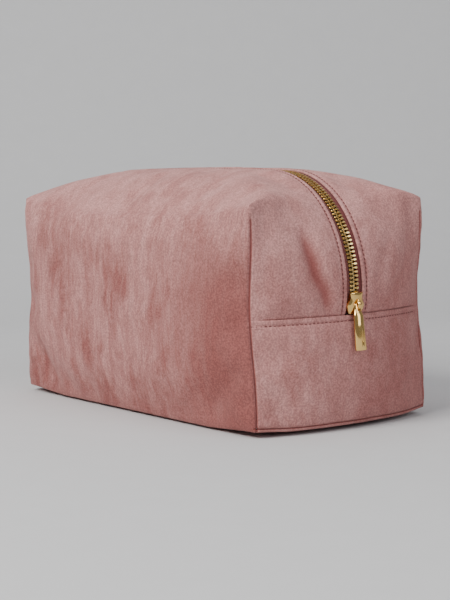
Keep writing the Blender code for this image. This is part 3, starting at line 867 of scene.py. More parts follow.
class SharedGroup:
    """A shader effect that several finishes use, built once as a node group."""

    def __init__(self, name: str, inputs: dict[str, tuple[str, object]], outputs: dict[str, str]) -> None:
        """Makes the empty group.

        Args:
            name: The group's name.
            inputs: Socket type and default value of each input.
            outputs: Socket type of each output.
        """
        self.group = bpy.data.node_groups.new(name, "ShaderNodeTree")
        for socket, (kind, value) in inputs.items():
            item = self.group.interface.new_socket(name=socket, in_out="INPUT", socket_type=kind)
            if value is not None:
                item.default_value = value
        for socket, kind in outputs.items():
            self.group.interface.new_socket(name=socket, in_out="OUTPUT", socket_type=kind)
        self.tree = Tree(self.group)
        self.source = self.tree.add("NodeGroupInput")
        self.result = self.tree.add("NodeGroupOutput")

    def place(self, tree: Tree, vector: bpy.types.NodeSocket, **values: float) -> bpy.types.Node:
        """Puts the group in a material.

        Args:
            tree: The material's tree.
            vector: Coordinates that it reads.
            values: Its numbers, by input name with underscores for spaces.

        Returns:
            The group's node.
        """
        node = tree.add("Group", node_tree=self.group)
        tree.join(vector, node.inputs["Vector"])
        for name, value in values.items():
            node.inputs[name.replace("_", " ")].default_value = value
        return node


def nap_group() -> SharedGroup:
    """Brushed nap: broad patches laid one way or the other, strokes and a fine grain."""
    number = "NodeSocketFloat"
    shared = SharedGroup(
        "brushed_nap",
        {"Vector": ("NodeSocketVector", None), "Patch Scale": (number, 22.0),
         "Stroke Scale": (number, 60.0), "Grain Scale": (number, 900.0)},
        {"Patches": number, "Strokes": number, "Hairs": number, "Grain": number, "Height": number})
    tree, source, result = shared.tree, shared.source, shared.result
    bend = tree.add("TexNoise", {"Scale": 14.0, "Detail": 3.0})
    tree.join(source.outputs["Vector"], bend.inputs["Vector"])
    wander = tree.add("VectorMath", {"Scale": 0.022}, operation="SCALE")
    tree.join(bend.outputs["Color"], wander.inputs[0])
    moved = tree.add("VectorMath", operation="ADD")
    tree.join(source.outputs["Vector"], moved.inputs[0])
    tree.join(wander.outputs[0], moved.inputs[1])
    long = tree.add("Mapping", {"Scale": (1.15, 1.0, 0.80), "Rotation": (0.0, 0.45, 0.0)})
    tree.join(moved.outputs[0], long.inputs["Vector"])
    patches = tree.add("TexNoise", {"Detail": 5.0, "Roughness": 0.62})
    tree.join(long.outputs[0], patches.inputs["Vector"])
    tree.join(source.outputs["Patch Scale"], patches.inputs["Scale"])
    tree.join(tree.range(patches.outputs["Fac"], 0.39, 0.60), result.inputs["Patches"])
    swept = tree.add("Mapping", {"Scale": (1.50, 1.0, 0.36), "Rotation": (0.0, -0.28, 0.1)})
    tree.join(moved.outputs[0], swept.inputs["Vector"])
    strokes = tree.add("TexNoise", {"Detail": 6.0, "Roughness": 0.70})
    tree.join(swept.outputs[0], strokes.inputs["Vector"])
    tree.join(source.outputs["Stroke Scale"], strokes.inputs["Scale"])
    tree.join(tree.range(strokes.outputs["Fac"], 0.38, 0.66), result.inputs["Strokes"])
    combed = tree.add("Mapping", {"Scale": (1.0, 1.0, 0.14), "Rotation": (0.0, -0.22, 0.0)})
    tree.join(moved.outputs[0], combed.inputs["Vector"])
    hairs = tree.add("TexNoise", {"Scale": 620.0, "Detail": 2.0})
    tree.join(combed.outputs[0], hairs.inputs["Vector"])
    tree.join(hairs.outputs["Fac"], result.inputs["Hairs"])
    grain = tree.add("TexNoise", {"Detail": 2.0, "Roughness": 0.6})
    tree.join(source.outputs["Vector"], grain.inputs["Vector"])
    tree.join(source.outputs["Grain Scale"], grain.inputs["Scale"])
    tree.join(grain.outputs["Fac"], result.inputs["Grain"])
    height = tree.sum("MULTIPLY_ADD", strokes.outputs["Fac"], 0.35)
    tree.join(grain.outputs["Fac"], height.node.inputs[2])
    tree.join(height, result.inputs["Height"])
    return shared


def weave_group() -> SharedGroup:
    """Plain weave: over-and-under threads on a map in metres."""
    number = "NodeSocketFloat"
    shared = SharedGroup(
        "plain_weave",
        {"Vector": ("NodeSocketVector", None), "Threads": (number, 900.0)},
        {"Weave": number, "Slub": number})
    tree, source, result = shared.tree, shared.source, shared.result
    split = tree.add("SeparateXYZ")
    tree.join(source.outputs["Vector"], split.inputs[0])
    waves = []
    for axis in (0, 1):
        turned = tree.sum("MULTIPLY", split.outputs[axis], source.outputs["Threads"])
        waves.append(tree.sum("SINE", tree.sum("MULTIPLY", turned, math.tau), 0.0))
    crossed = tree.sum("MULTIPLY", waves[0], waves[1])
    tree.join(tree.range(crossed, -1.0, 1.0), result.inputs["Weave"])
    slub = tree.add("TexNoise", {"Scale": 260.0, "Detail": 3.0})
    tree.join(source.outputs["Vector"], slub.inputs["Vector"])
    tree.join(slub.outputs["Fac"], result.inputs["Slub"])
    return shared


def wear_group() -> SharedGroup:
    """Handling marks on metal: faint smudges and fine scratches."""
    number = "NodeSocketFloat"
    shared = SharedGroup(
        "handling_marks",
        {"Vector": ("NodeSocketVector", None), "Smudge Scale": (number, 180.0),
         "Scratch Scale": (number, 900.0)},
        {"Smudge": number, "Scratch": number})
    tree, source, result = shared.tree, shared.source, shared.result
    smudge = tree.add("TexNoise", {"Detail": 3.0})
    tree.join(source.outputs["Vector"], smudge.inputs["Vector"])
    tree.join(source.outputs["Smudge Scale"], smudge.inputs["Scale"])
    tree.join(tree.range(smudge.outputs["Fac"], 0.42, 0.72), result.inputs["Smudge"])
    drawn = tree.add("Mapping", {"Scale": (1.0, 1.0, 0.08)})
    tree.join(source.outputs["Vector"], drawn.inputs["Vector"])
    scratch = tree.add("TexNoise", {"Detail": 2.0})
    tree.join(drawn.outputs[0], scratch.inputs["Vector"])
    tree.join(source.outputs["Scratch Scale"], scratch.inputs["Scale"])
    tree.join(scratch.outputs["Fac"], result.inputs["Scratch"])
    return shared


class Finish:
    """Start of every finish: a material with its Principled shader and coordinates."""

    name: str

    def start(self) -> tuple[bpy.types.Material, Tree, bpy.types.Node]:
        """New material, its tree and its Principled shader."""
        material = bpy.data.materials.new(self.name)
        material.use_nodes = True
        tree = Tree(material.node_tree)
        return material, tree, material.node_tree.nodes["Principled BSDF"]

    @staticmethod
    def place(tree: Tree) -> bpy.types.NodeSocket:
        """Object coordinates."""
        return tree.add("TexCoord").outputs["Object"]

    @staticmethod
    def rest(tree: Tree) -> bpy.types.NodeSocket:
        """Where the cloth lies on the closed pouch, which moves with the cloth."""
        return tree.add("Attribute", attribute_name=REST).outputs["Vector"]

    @staticmethod
    def bump(tree: Tree, shader: bpy.types.Node, height: bpy.types.NodeSocket, strength: float,
             distance: float) -> None:
        """Feeds a height to the shader's normal."""
        node = tree.add("Bump", {"Strength": strength, "Distance": distance})
        tree.join(height, node.inputs["Height"])
        tree.join(node.outputs[0], shader.inputs["Normal"])


@dataclass(frozen=True)
class SuedeFinish(Finish):
    """Brushed dusty-pink suede with its nap laid in patches, under painted shade on the front face, its foot,
    the right end and the creases, and painted light towards the top.
    """

    name: str = "brushed_suede"
    # light nap strokes, also the colour of the painted light towards the top
    light: tuple[float, float, float] = (0.620, 0.325, 0.300)
    middle: tuple[float, float, float] = (0.440, 0.198, 0.182)
    # dark nap, also the colour of the painted shade on the front face and the right end
    dark: tuple[float, float, float] = (0.275, 0.088, 0.078)
    # colour of the painted shade in the folds and seam grooves
    deep: tuple[float, float, float] = (0.235, 0.052, 0.045)
    sheen: float = 0.20

    def make(self, nap: SharedGroup) -> bpy.types.Material:
        """Builds the material from the nap group."""
        material, tree, shader = self.start()
        brushed = nap.place(tree, self.rest(tree), Patch_Scale=27.0, Stroke_Scale=78.0, Grain_Scale=1050.0)
        split = tree.add("SeparateXYZ")
        tree.join(self.rest(tree), split.inputs[0])
        x, y, z = split.outputs
        end = tree.range(x, 0.100, 0.112)
        front = tree.range(y, -0.0570, -0.0600)
        calm = tree.blend(tree.sum("MULTIPLY", end, 0.65), self.dark, self.middle)
        colour = tree.blend(brushed.outputs["Patches"], calm, self.middle)
        strokes = tree.sum("MULTIPLY", brushed.outputs["Strokes"], 0.60)
        colour = tree.blend(strokes, colour, self.light)
        # painted shade: the front face darker towards its right end and lower down
        face_painted_shade = tree.sum("MULTIPLY", tree.range(x, 0.015, 0.105), tree.range(z, 0.080, 0.120, 0.92, 0.0))
        colour = tree.blend(tree.sum("MULTIPLY", face_painted_shade, front), colour, self.dark)
        # painted shade: the front face darker along its foot
        painted_foot_shade = tree.sum("MULTIPLY", tree.range(z, 0.030, 0.002, 0.0, 0.45), front)
        colour = tree.blend(painted_foot_shade, colour, self.dark)
        # painted shade: the right end darker towards its back edge and lower down
        skewed = tree.sum("MULTIPLY_ADD", z, -0.6)
        tree.join(y, skewed.node.inputs[2])
        end_painted_shade = tree.sum("MULTIPLY", tree.range(skewed, -0.050, 0.025, 0.0, 0.55), end)
        colour = tree.blend(end_painted_shade, colour, self.dark)
        # painted light: the suede lighter towards the top, partly the nap's lay and partly light falling from
        # above
        high = tree.range(z, 0.060, 0.122, 0.0, 0.34)
        colour = tree.blend(high, colour, self.light)
        combed = tree.sum("MULTIPLY", tree.range(brushed.outputs["Hairs"], 0.35, 0.65, 0.0, 0.34), front)
        colour = tree.blend(combed, colour, self.dark)
        grain = tree.range(brushed.outputs["Grain"], 0.32, 0.70, 0.76, 1.22)
        tinted = tree.add("Mix", data_type="RGBA", blend_type="MULTIPLY")
        tinted.inputs[0].default_value = 1.0
        tree.join(colour, tinted.inputs[6])
        tree.join(grain, tinted.inputs[7])
        # painted shade: darker in the folds and seam grooves, by how deep the cloth lies there
        crease = tree.add("Attribute", attribute_name=CREASE).outputs["Fac"]
        painted_crease_shade = tree.range(crease, 0.05, 1.0, 0.0, 0.85)
        colour = tree.blend(painted_crease_shade, tinted.outputs[2], self.deep)
        tree.join(colour, shader.inputs["Base Color"])
        tree.join(tree.range(brushed.outputs["Patches"], 0.0, 1.0, 0.96, 0.80), shader.inputs["Roughness"])
        shader.inputs["Specular IOR Level"].default_value = 0.18
        shader.inputs["Sheen Weight"].default_value = self.sheen
        shader.inputs["Sheen Roughness"].default_value = 0.45
        shader.inputs["Sheen Tint"].default_value = (1.0, 0.74, 0.70, 1)
        self.bump(tree, shader, brushed.outputs["Height"], 0.55, 0.0004)
        return material


@dataclass(frozen=True)
class WovenFinish(Finish):
    """Woven cloth on its own map: tape, lining or wadding."""

    name: str
    base: tuple[float, float, float]
    shade: tuple[float, float, float]
    threads: float
    roughness: tuple[float, float]
    bump_depth: float
    sheen: float = 0.0

    def make(self, weave: SharedGroup) -> bpy.types.Material:
        """Builds the material from the weave group."""
        material, tree, shader = self.start()
        map_node = tree.add("UVMap", uv_map="cloth")
        woven = weave.place(tree, map_node.outputs[0], Threads=self.threads)
        colour = tree.blend(woven.outputs["Weave"], self.shade, self.base)
        slub = tree.range(woven.outputs["Slub"], 0.3, 0.7, 0.0, 0.35)
        colour = tree.blend(slub, colour, tuple(0.7 * c for c in self.base))
        tree.join(colour, shader.inputs["Base Color"])
        low, high = self.roughness
        tree.join(tree.range(woven.outputs["Slub"], 0.3, 0.7, low, high), shader.inputs["Roughness"])
        shader.inputs["Sheen Weight"].default_value = self.sheen
        shader.inputs["Specular IOR Level"].default_value = 0.3
        self.bump(tree, shader, woven.outputs["Weave"], 0.6, self.bump_depth)
        return material


@dataclass(frozen=True)
class BrassFinish(Finish):
    """Plated metal, polished or brushed, with handling marks."""

    name: str
    colour: tuple[float, float, float]
    shade: tuple[float, float, float]
    roughness: tuple[float, float]

    def make(self, marks: SharedGroup) -> bpy.types.Material:
        """Builds the material from the handling marks group."""
        material, tree, shader = self.start()
        worn = marks.place(tree, self.place(tree))
        tree.join(tree.blend(worn.outputs["Smudge"], self.colour, self.shade), shader.inputs["Base Color"])
        low, high = self.roughness
        tree.join(tree.range(worn.outputs["Smudge"], 0.0, 1.0, low, high), shader.inputs["Roughness"])
        shader.inputs["Metallic"].default_value = 1.0
        self.bump(tree, shader, worn.outputs["Scratch"], 0.08, 0.00005)
        return material


@dataclass(frozen=True)
class ThreadFinish(Finish):
    """Twisted sewing thread."""

    name: str = "sewing_thread"
    base: tuple[float, float, float] = (0.20, 0.055, 0.050)
    shade: tuple[float, float, float] = (0.09, 0.020, 0.018)

    def make(self) -> bpy.types.Material:
        """Builds the material."""
        material, tree, shader = self.start()
        twist = tree.add("TexWave", {"Scale": 900.0, "Distortion": 1.5}, bands_direction="DIAGONAL")
        tree.join(self.place(tree), twist.inputs["Vector"])
        tree.join(tree.blend(twist.outputs["Fac"], self.shade, self.base), shader.inputs["Base Color"])
        tree.join(tree.range(twist.outputs["Fac"], 0, 1, 0.62, 0.48), shader.inputs["Roughness"])
        self.bump(tree, shader, twist.outputs["Fac"], 0.5, 0.00006)
        return material


@dataclass(frozen=True)
class PaperFinish(Finish):
    """Pale seamless paper under and behind the pouch."""

    name: str = "backdrop_paper"
    light: tuple[float, float, float] = (0.64, 0.64, 0.645)
    shade: tuple[float, float, float] = (0.61, 0.61, 0.615)

    def make(self) -> bpy.types.Material:
        """Builds the material."""
        material, tree, shader = self.start()
        fibre = tree.add("TexNoise", {"Scale": 60.0, "Detail": 5.0})
        tree.join(self.place(tree), fibre.inputs["Vector"])
        tree.join(tree.blend(fibre.outputs["Fac"], self.shade, self.light), shader.inputs["Base Color"])
        shader.inputs["Roughness"].default_value = 0.85
        shader.inputs["Specular IOR Level"].default_value = 0.2
        return material


@dataclass(frozen=True)
class Finishes:
    """Every finish of the pouch, made once."""

    suede: bpy.types.Material
    lining: bpy.types.Material
    wadding: bpy.types.Material
    tape: bpy.types.Material
    hardware: bpy.types.Material
    elements: bpy.types.Material
    thread: bpy.types.Material
    paper: bpy.types.Material

    @staticmethod
    def make() -> Finishes:
        """Builds the shared groups and the materials."""
        nap, weave, marks = nap_group(), weave_group(), wear_group()
        return Finishes(
            suede=SuedeFinish().make(nap),
            lining=WovenFinish("lining_satin", (0.42, 0.20, 0.19), (0.27, 0.11, 0.105), 1500.0,
                               (0.38, 0.55), 0.00004, 0.2).make(weave),
            wadding=WovenFinish("wadding_felt", (0.80, 0.78, 0.74), (0.66, 0.64, 0.60), 500.0,
                                (0.92, 1.0), 0.0002).make(weave),
            tape=WovenFinish("zip_tape_weave", (0.235, 0.058, 0.055), (0.12, 0.022, 0.022), 1100.0,
                             (0.70, 0.88), 0.00012, 0.15).make(weave),
            hardware=BrassFinish("polished_gold", (0.88, 0.58, 0.21), (0.76, 0.46, 0.14),
                                 (0.10, 0.22)).make(marks),
            elements=BrassFinish("brass_elements", (0.88, 0.66, 0.31), (0.62, 0.42, 0.17),
                                 (0.24, 0.40)).make(marks),
            thread=ThreadFinish().make(),
            paper=PaperFinish().make())


# ---- Cloth ----------------------------------------------------------------------------
def map_cloth(obj: bpy.types.Object) -> None:
    """Lays a flat map in metres on a cloth, by the way that each face looks."""
    layer = obj.data.uv_layers.new(name="cloth")
    for polygon in obj.data.polygons:
        normal = polygon.normal
        wide = max(range(3), key=lambda axis: abs(normal[axis]))
        for loop in polygon.loop_indices:
            place = obj.data.vertices[obj.data.loops[loop].vertex_index].co
            flat = [place[axis] for axis in range(3) if axis != wide]
            layer.data[loop].uv = flat


def thicken(obj: bpy.types.Object, thickness: float, depth: float = 0.0) -> bpy.types.Object:
    """Gives a cloth its thickness, inwards from a depth under its surface.

    Args:
        obj: The open cloth.
        thickness: Its thickness.
        depth: Depth of its outer side under the mesh.

    Returns:
        The same object.
    """
    wall = obj.modifiers.new("thickness", "SOLIDIFY")
    wall.thickness = thickness
    wall.offset = -1 - 2 * depth / thickness
    wall.use_even_offset = False
    return obj


@dataclass
class OuterCloth:
    """Body cloths and lower end panels, the visible suede."""

    form: PouchForm
    skin: Skin
    relief: Relief
    stuffing: Stuffing
    finishes: Finishes
    under_hem: float = 0.0040
    hem_radius: float = 0.0006
    edge_radius: float = 0.0007
    surfaces: dict[str, BVHTree] = field(default_factory=dict)

    def build(self) -> None:
        """Makes both body cloths and both end panels."""
        for side in Side:
            self._dress(self._body_cloth(side), side.body, f"outer_{side.word}_lower",
                        f"outer_{side.word}_upper")
        for end in End:
            self._dress(self._end_panel(end), "root", f"outer_end_{end.word}")

    def _body_cloth(self, side: Side) -> bpy.types.Object:
        """Long face, half top, half base, both end wings and the turned lip in one cloth."""
        form = self.form

        def keep(region: Region, rise: float, aside: float) -> bool:
            if region in (Region.FACE, Region.BASE):
                return True
            if region is Region.TOP:
                return aside > form.slot_half
            is_wing = rise > form.seam_height - self.under_hem and aside > form.slot_half
            return is_wing or rise < form.lip or aside > form.half_depth - form.side_inset

        def extra(point: Vector) -> float:
            is_end = abs(point.x) > form.half_length - 0.0005 and abs(point.y) < form.half_depth
            if not is_end or point.z > form.seam_height + 0.004:
                return 0.0
            if abs(point.y) > form.half_depth - form.side_inset - 1e-5 or point.z < form.lip + 1e-5:
                return 0.0
            tucked = smooth((form.seam_height + 0.0016 - point.z) / 0.0020)
            return -0.0009 * tucked - 0.0004 * dip(point.z - form.seam_height, 0.0022)

        mesh = self.skin.sheet(Cut.fine(form), [side], keep)
        self.relief.shape(mesh, True, extra, self.stuffing.swell)
        inward = Vector((0, -side.value, 0))
        slot_y = form.slot_half * 1.09
        curl(mesh, lambda p: abs(p.y) < slot_y and p.z > form.seam_height - 0.002,
             lambda p: inward, self.edge_radius)
        self.surfaces[side.word] = BVHTree.FromBMesh(mesh)
        return mesh_object(f"outer_{side.word}", mesh)

    def _end_panel(self, end: End) -> bpy.types.Object:
        """Lower end panel with its folded, topstitched top hem."""
        form = self.form
        seam = form.seam_height

        def keep(region: Region, rise: float, aside: float) -> bool:
            is_inside = form.lip < rise < seam and aside < form.half_depth - form.side_inset
            return region is end.region and is_inside

        def extra(point: Vector) -> float:
            stitch = dip(point.z - (seam - form.hem_stitch), 0.0007)
            proud = smooth((point.z - (seam - form.hem_stitch)) / 0.0008)
            return 0.0004 * proud - 0.00035 * stitch

        mesh = self.skin.sheet(Cut.fine(form), list(Side), keep)
        bmesh.ops.remove_doubles(mesh, verts=mesh.verts, dist=2e-5)
        self.relief.shape(mesh, True, extra, self.stuffing.swell)
        curl(mesh, lambda p: p.z > seam - 0.0006 + self.relief.lift(p), lambda p: Vector((0, 0, 1)),
             self.hem_radius)
        self.surfaces[f"end_{end.word}"] = BVHTree.FromBMesh(mesh)
        return mesh_object(f"outer_end_{end.word}", mesh)

    def _dress(self, obj: bpy.types.Object, body: str, *nodes: str) -> None:
        """Thickens and colours one cloth, hides the parts that it stands for, and fixes it to the root body
        or bakes its transform.
        """
        form = self.form
        name = nodes[0]
        obj.name = obj.name if obj.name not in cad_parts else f"{obj.name}_suede"
        thicken(obj, form.cloth)
        dress(obj, self.finishes.suede)
        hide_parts(*nodes)
        if body == "root":
            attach(obj, "root")
        else:
            blend_mouth(obj)
        LOG.info("made %s for %s", obj.name, name)


def blend_mouth(obj: bpy.types.Object) -> None:
    """Bakes a piece's transform into its mesh."""
    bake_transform(obj)


@dataclass
class InnerLayers:
    """Wadding and lining behind the suede."""

    form: PouchForm
    skin: Skin
    relief: Relief
    stuffing: Stuffing
    finishes: Finishes
    wadding: float = 0.0014
    wadding_depth: float = 0.0020
    lining: float = 0.0005
    lining_depth: float = 0.0037
    wadding_slot: float = 0.0146
    lining_slot: float = 0.0088
    panel_low: float = 0.0060
    panel_side: float = 0.0060

    def build(self) -> None:
        """Makes the wadding and the lining of both halves and both ends."""
        layers = (("interlining", self.wadding, self.wadding_depth, self.wadding_slot,
                   self.finishes.wadding, "wadding"),
                  ("lining", self.lining, self.lining_depth, self.lining_slot,
                   self.finishes.lining, "lining"))
        for kind, thickness, depth, slot, material, slot_name in layers:
            for side in Side:
                obj = self._half(f"{kind}_{side.word}", side, slot)
                self._dress(obj, thickness, depth, material, slot_name)
                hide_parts(f"{kind}_{side.word}_lower", f"{kind}_{side.word}_upper")
                blend_mouth(obj)
            for end in End:
                obj = self._panel(f"{kind}_end_{end.word}_cloth", end)
                self._dress(obj, thickness, depth, material, slot_name)
                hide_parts(f"{kind}_end_{end.word}")
                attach(obj, "root")
            LOG.info("made the %s", kind)

    def _half(self, name: str, side: Side, slot: float) -> bpy.types.Object:
        """Long face, half top, end wings and half base of one layer."""
        form = self.form

        def keep(region: Region, rise: float, aside: float) -> bool:
            if region in (Region.FACE, Region.BASE):
                return True
            return aside > slot and (region is Region.TOP or rise > form.seam_height)

        mesh = self.skin.sheet(Cut.coarse(form), [side], keep)
        self.relief.shape(mesh, False, lambda p: 0.0, self.stuffing.swell)
        return mesh_object(name, mesh)

    def _panel(self, name: str, end: End) -> bpy.types.Object:
        """Lower end panel of one layer."""
        form = self.form

        def keep(region: Region, rise: float, aside: float) -> bool:
            is_inside = aside < form.half_depth - self.panel_side
            return region is end.region and self.panel_low < rise < form.seam_height and is_inside

        mesh = self.skin.sheet(Cut.coarse(form), list(Side), keep)
        self.relief.shape(mesh, False, lambda p: 0.0, self.stuffing.swell)
        return mesh_object(name, mesh)

    @staticmethod
    def _dress(obj: bpy.types.Object, thickness: float, depth: float,
               material: bpy.types.Material, slot_name: str) -> None:
        """Maps, thickens and colours one layer."""
        map_cloth(obj)
        thicken(obj, thickness, depth)
        dress(obj, material)


# ---- Repeated pieces along a route ----------------------------------------------------
@dataclass(frozen=True)
class Repeater:
    """Geometry Nodes tree that sets copies of a piece along a route of points."""

    tree: bpy.types.GeometryNodeTree

    @staticmethod
    def make() -> Repeater:
        """Builds the tree with its named inputs."""
        group = bpy.data.node_groups.new("set_along_route", "GeometryNodeTree")
        face = group.interface
        kinds = (("Geometry", "NodeSocketGeometry", None), ("Spacing", "NodeSocketFloat", 0.002),
                 ("Piece", "NodeSocketObject", None), ("Tilt", "NodeSocketFloat", 0.0),
                 ("Wobble", "NodeSocketFloat", 0.0), ("Seed", "NodeSocketInt", 7),
                 ("Finish", "NodeSocketMaterial", None))
        for name, kind, value in kinds:
            socket = face.new_socket(name=name, in_out="INPUT", socket_type=kind)
            if value is not None:
                socket.default_value = value
        face.new_socket(name="Geometry", in_out="OUTPUT", socket_type="NodeSocketGeometry")
        tree = Tree(group)
        source, result = tree.add("NodeGroupInput"), tree.add("NodeGroupOutput")
        curve = tree.add("GeometryNodeMeshToCurve")
        even = tree.add("GeometryNodeResampleCurve", mode="LENGTH")
        tangent = tree.add("GeometryNodeInputTangent")
        facing = tree.add("GeometryNodeInputNamedAttribute", {"Name": OUTWARD}, data_type="FLOAT_VECTOR")
        axes = tree.add("FunctionNodeAxesToRotation", primary_axis="X", secondary_axis="Z")
        low = tree.sum("MULTIPLY", source.outputs["Wobble"], -1.0)
        shake = tree.add("FunctionNodeRandomValue", data_type="FLOAT")
        turn = tree.sum("ADD", source.outputs["Tilt"], shake.outputs[1])
        angles = tree.add("CombineXYZ")
        euler = tree.add("FunctionNodeEulerToRotation")
        spun = tree.add("FunctionNodeRotateRotation", rotation_space="LOCAL")
        piece = tree.add("GeometryNodeObjectInfo", {"As Instance": True})
        copies = tree.add("GeometryNodeInstanceOnPoints")
        real = tree.add("GeometryNodeRealizeInstances")
        coat = tree.add("GeometryNodeSetMaterial")
        for first, second in (
                (source.outputs["Geometry"], curve.inputs["Mesh"]),
                (curve.outputs["Curve"], even.inputs["Curve"]),
                (source.outputs["Spacing"], even.inputs["Length"]),
                (even.outputs["Curve"], copies.inputs["Points"]),
                (tangent.outputs["Tangent"], axes.inputs["Primary Axis"]),
                (facing.outputs["Attribute"], axes.inputs["Secondary Axis"]),
                (low, shake.inputs["Min_001"] if "Min_001" in shake.inputs else shake.inputs[2]),
                (source.outputs["Wobble"], shake.inputs[3]),
                (source.outputs["Seed"], shake.inputs["Seed"]),
                (turn, angles.inputs["Z"]),
                (angles.outputs["Vector"], euler.inputs["Euler"]),
                (axes.outputs["Rotation"], spun.inputs["Rotation"]),
                (euler.outputs["Rotation"], spun.inputs["Rotate By"]),
                (spun.outputs["Rotation"], copies.inputs["Rotation"]),
                (source.outputs["Piece"], piece.inputs["Object"]),
                (piece.outputs["Geometry"], copies.inputs["Instance"]),
                (copies.outputs["Instances"], real.inputs["Geometry"]),
                (real.outputs["Geometry"], coat.inputs["Geometry"]),
                (source.outputs["Finish"], coat.inputs["Material"]),
                (coat.outputs["Geometry"], result.inputs["Geometry"])):
            tree.join(first, second)
        return Repeater(group)

    def lay(self, name: str, route: Sequence[tuple[Vector, Vector]], piece: bpy.types.Object,
            finish: bpy.types.Material, **values: float) -> bpy.types.Object:
        """Sets copies of a piece along a route.

        Args:
            name: The new piece's name.
            route: (place, outward direction) of each point of the route.
            piece: The piece that repeats, along X with Z outwards.
            finish: Its material.
            values: The tree's other inputs, by name.

        Returns:
            One plain mesh object of all copies.
        """
        mesh = bpy.data.meshes.new(name)
        mesh.from_pydata([place for place, _ in route], [(i, i + 1) for i in range(len(route) - 1)], [])
        outward = mesh.attributes.new(OUTWARD, "FLOAT_VECTOR", "POINT")
        outward.data.foreach_set("vector", [c for _, way in route for c in way])
        obj = new_object(name, mesh)
        modifier = obj.modifiers.new("along", "NODES")
        modifier.node_group = self.tree
        given = {"Piece": piece, "Finish": finish, **values}
        for item in self.tree.interface.items_tree:
            if item.in_out == "INPUT" and item.name in given:
                modifier[item.identifier] = given[item.name]
        plain = settled(obj)
        dress(plain, finish)
        return plain


def helper(name: str, shape: bmesh.types.BMesh) -> bpy.types.Object:
    """Hidden object of a piece that a repeater copies."""
    obj = mesh_object(name, shape)
    obj.hide_render = True
    obj.hide_viewport = False
    return obj


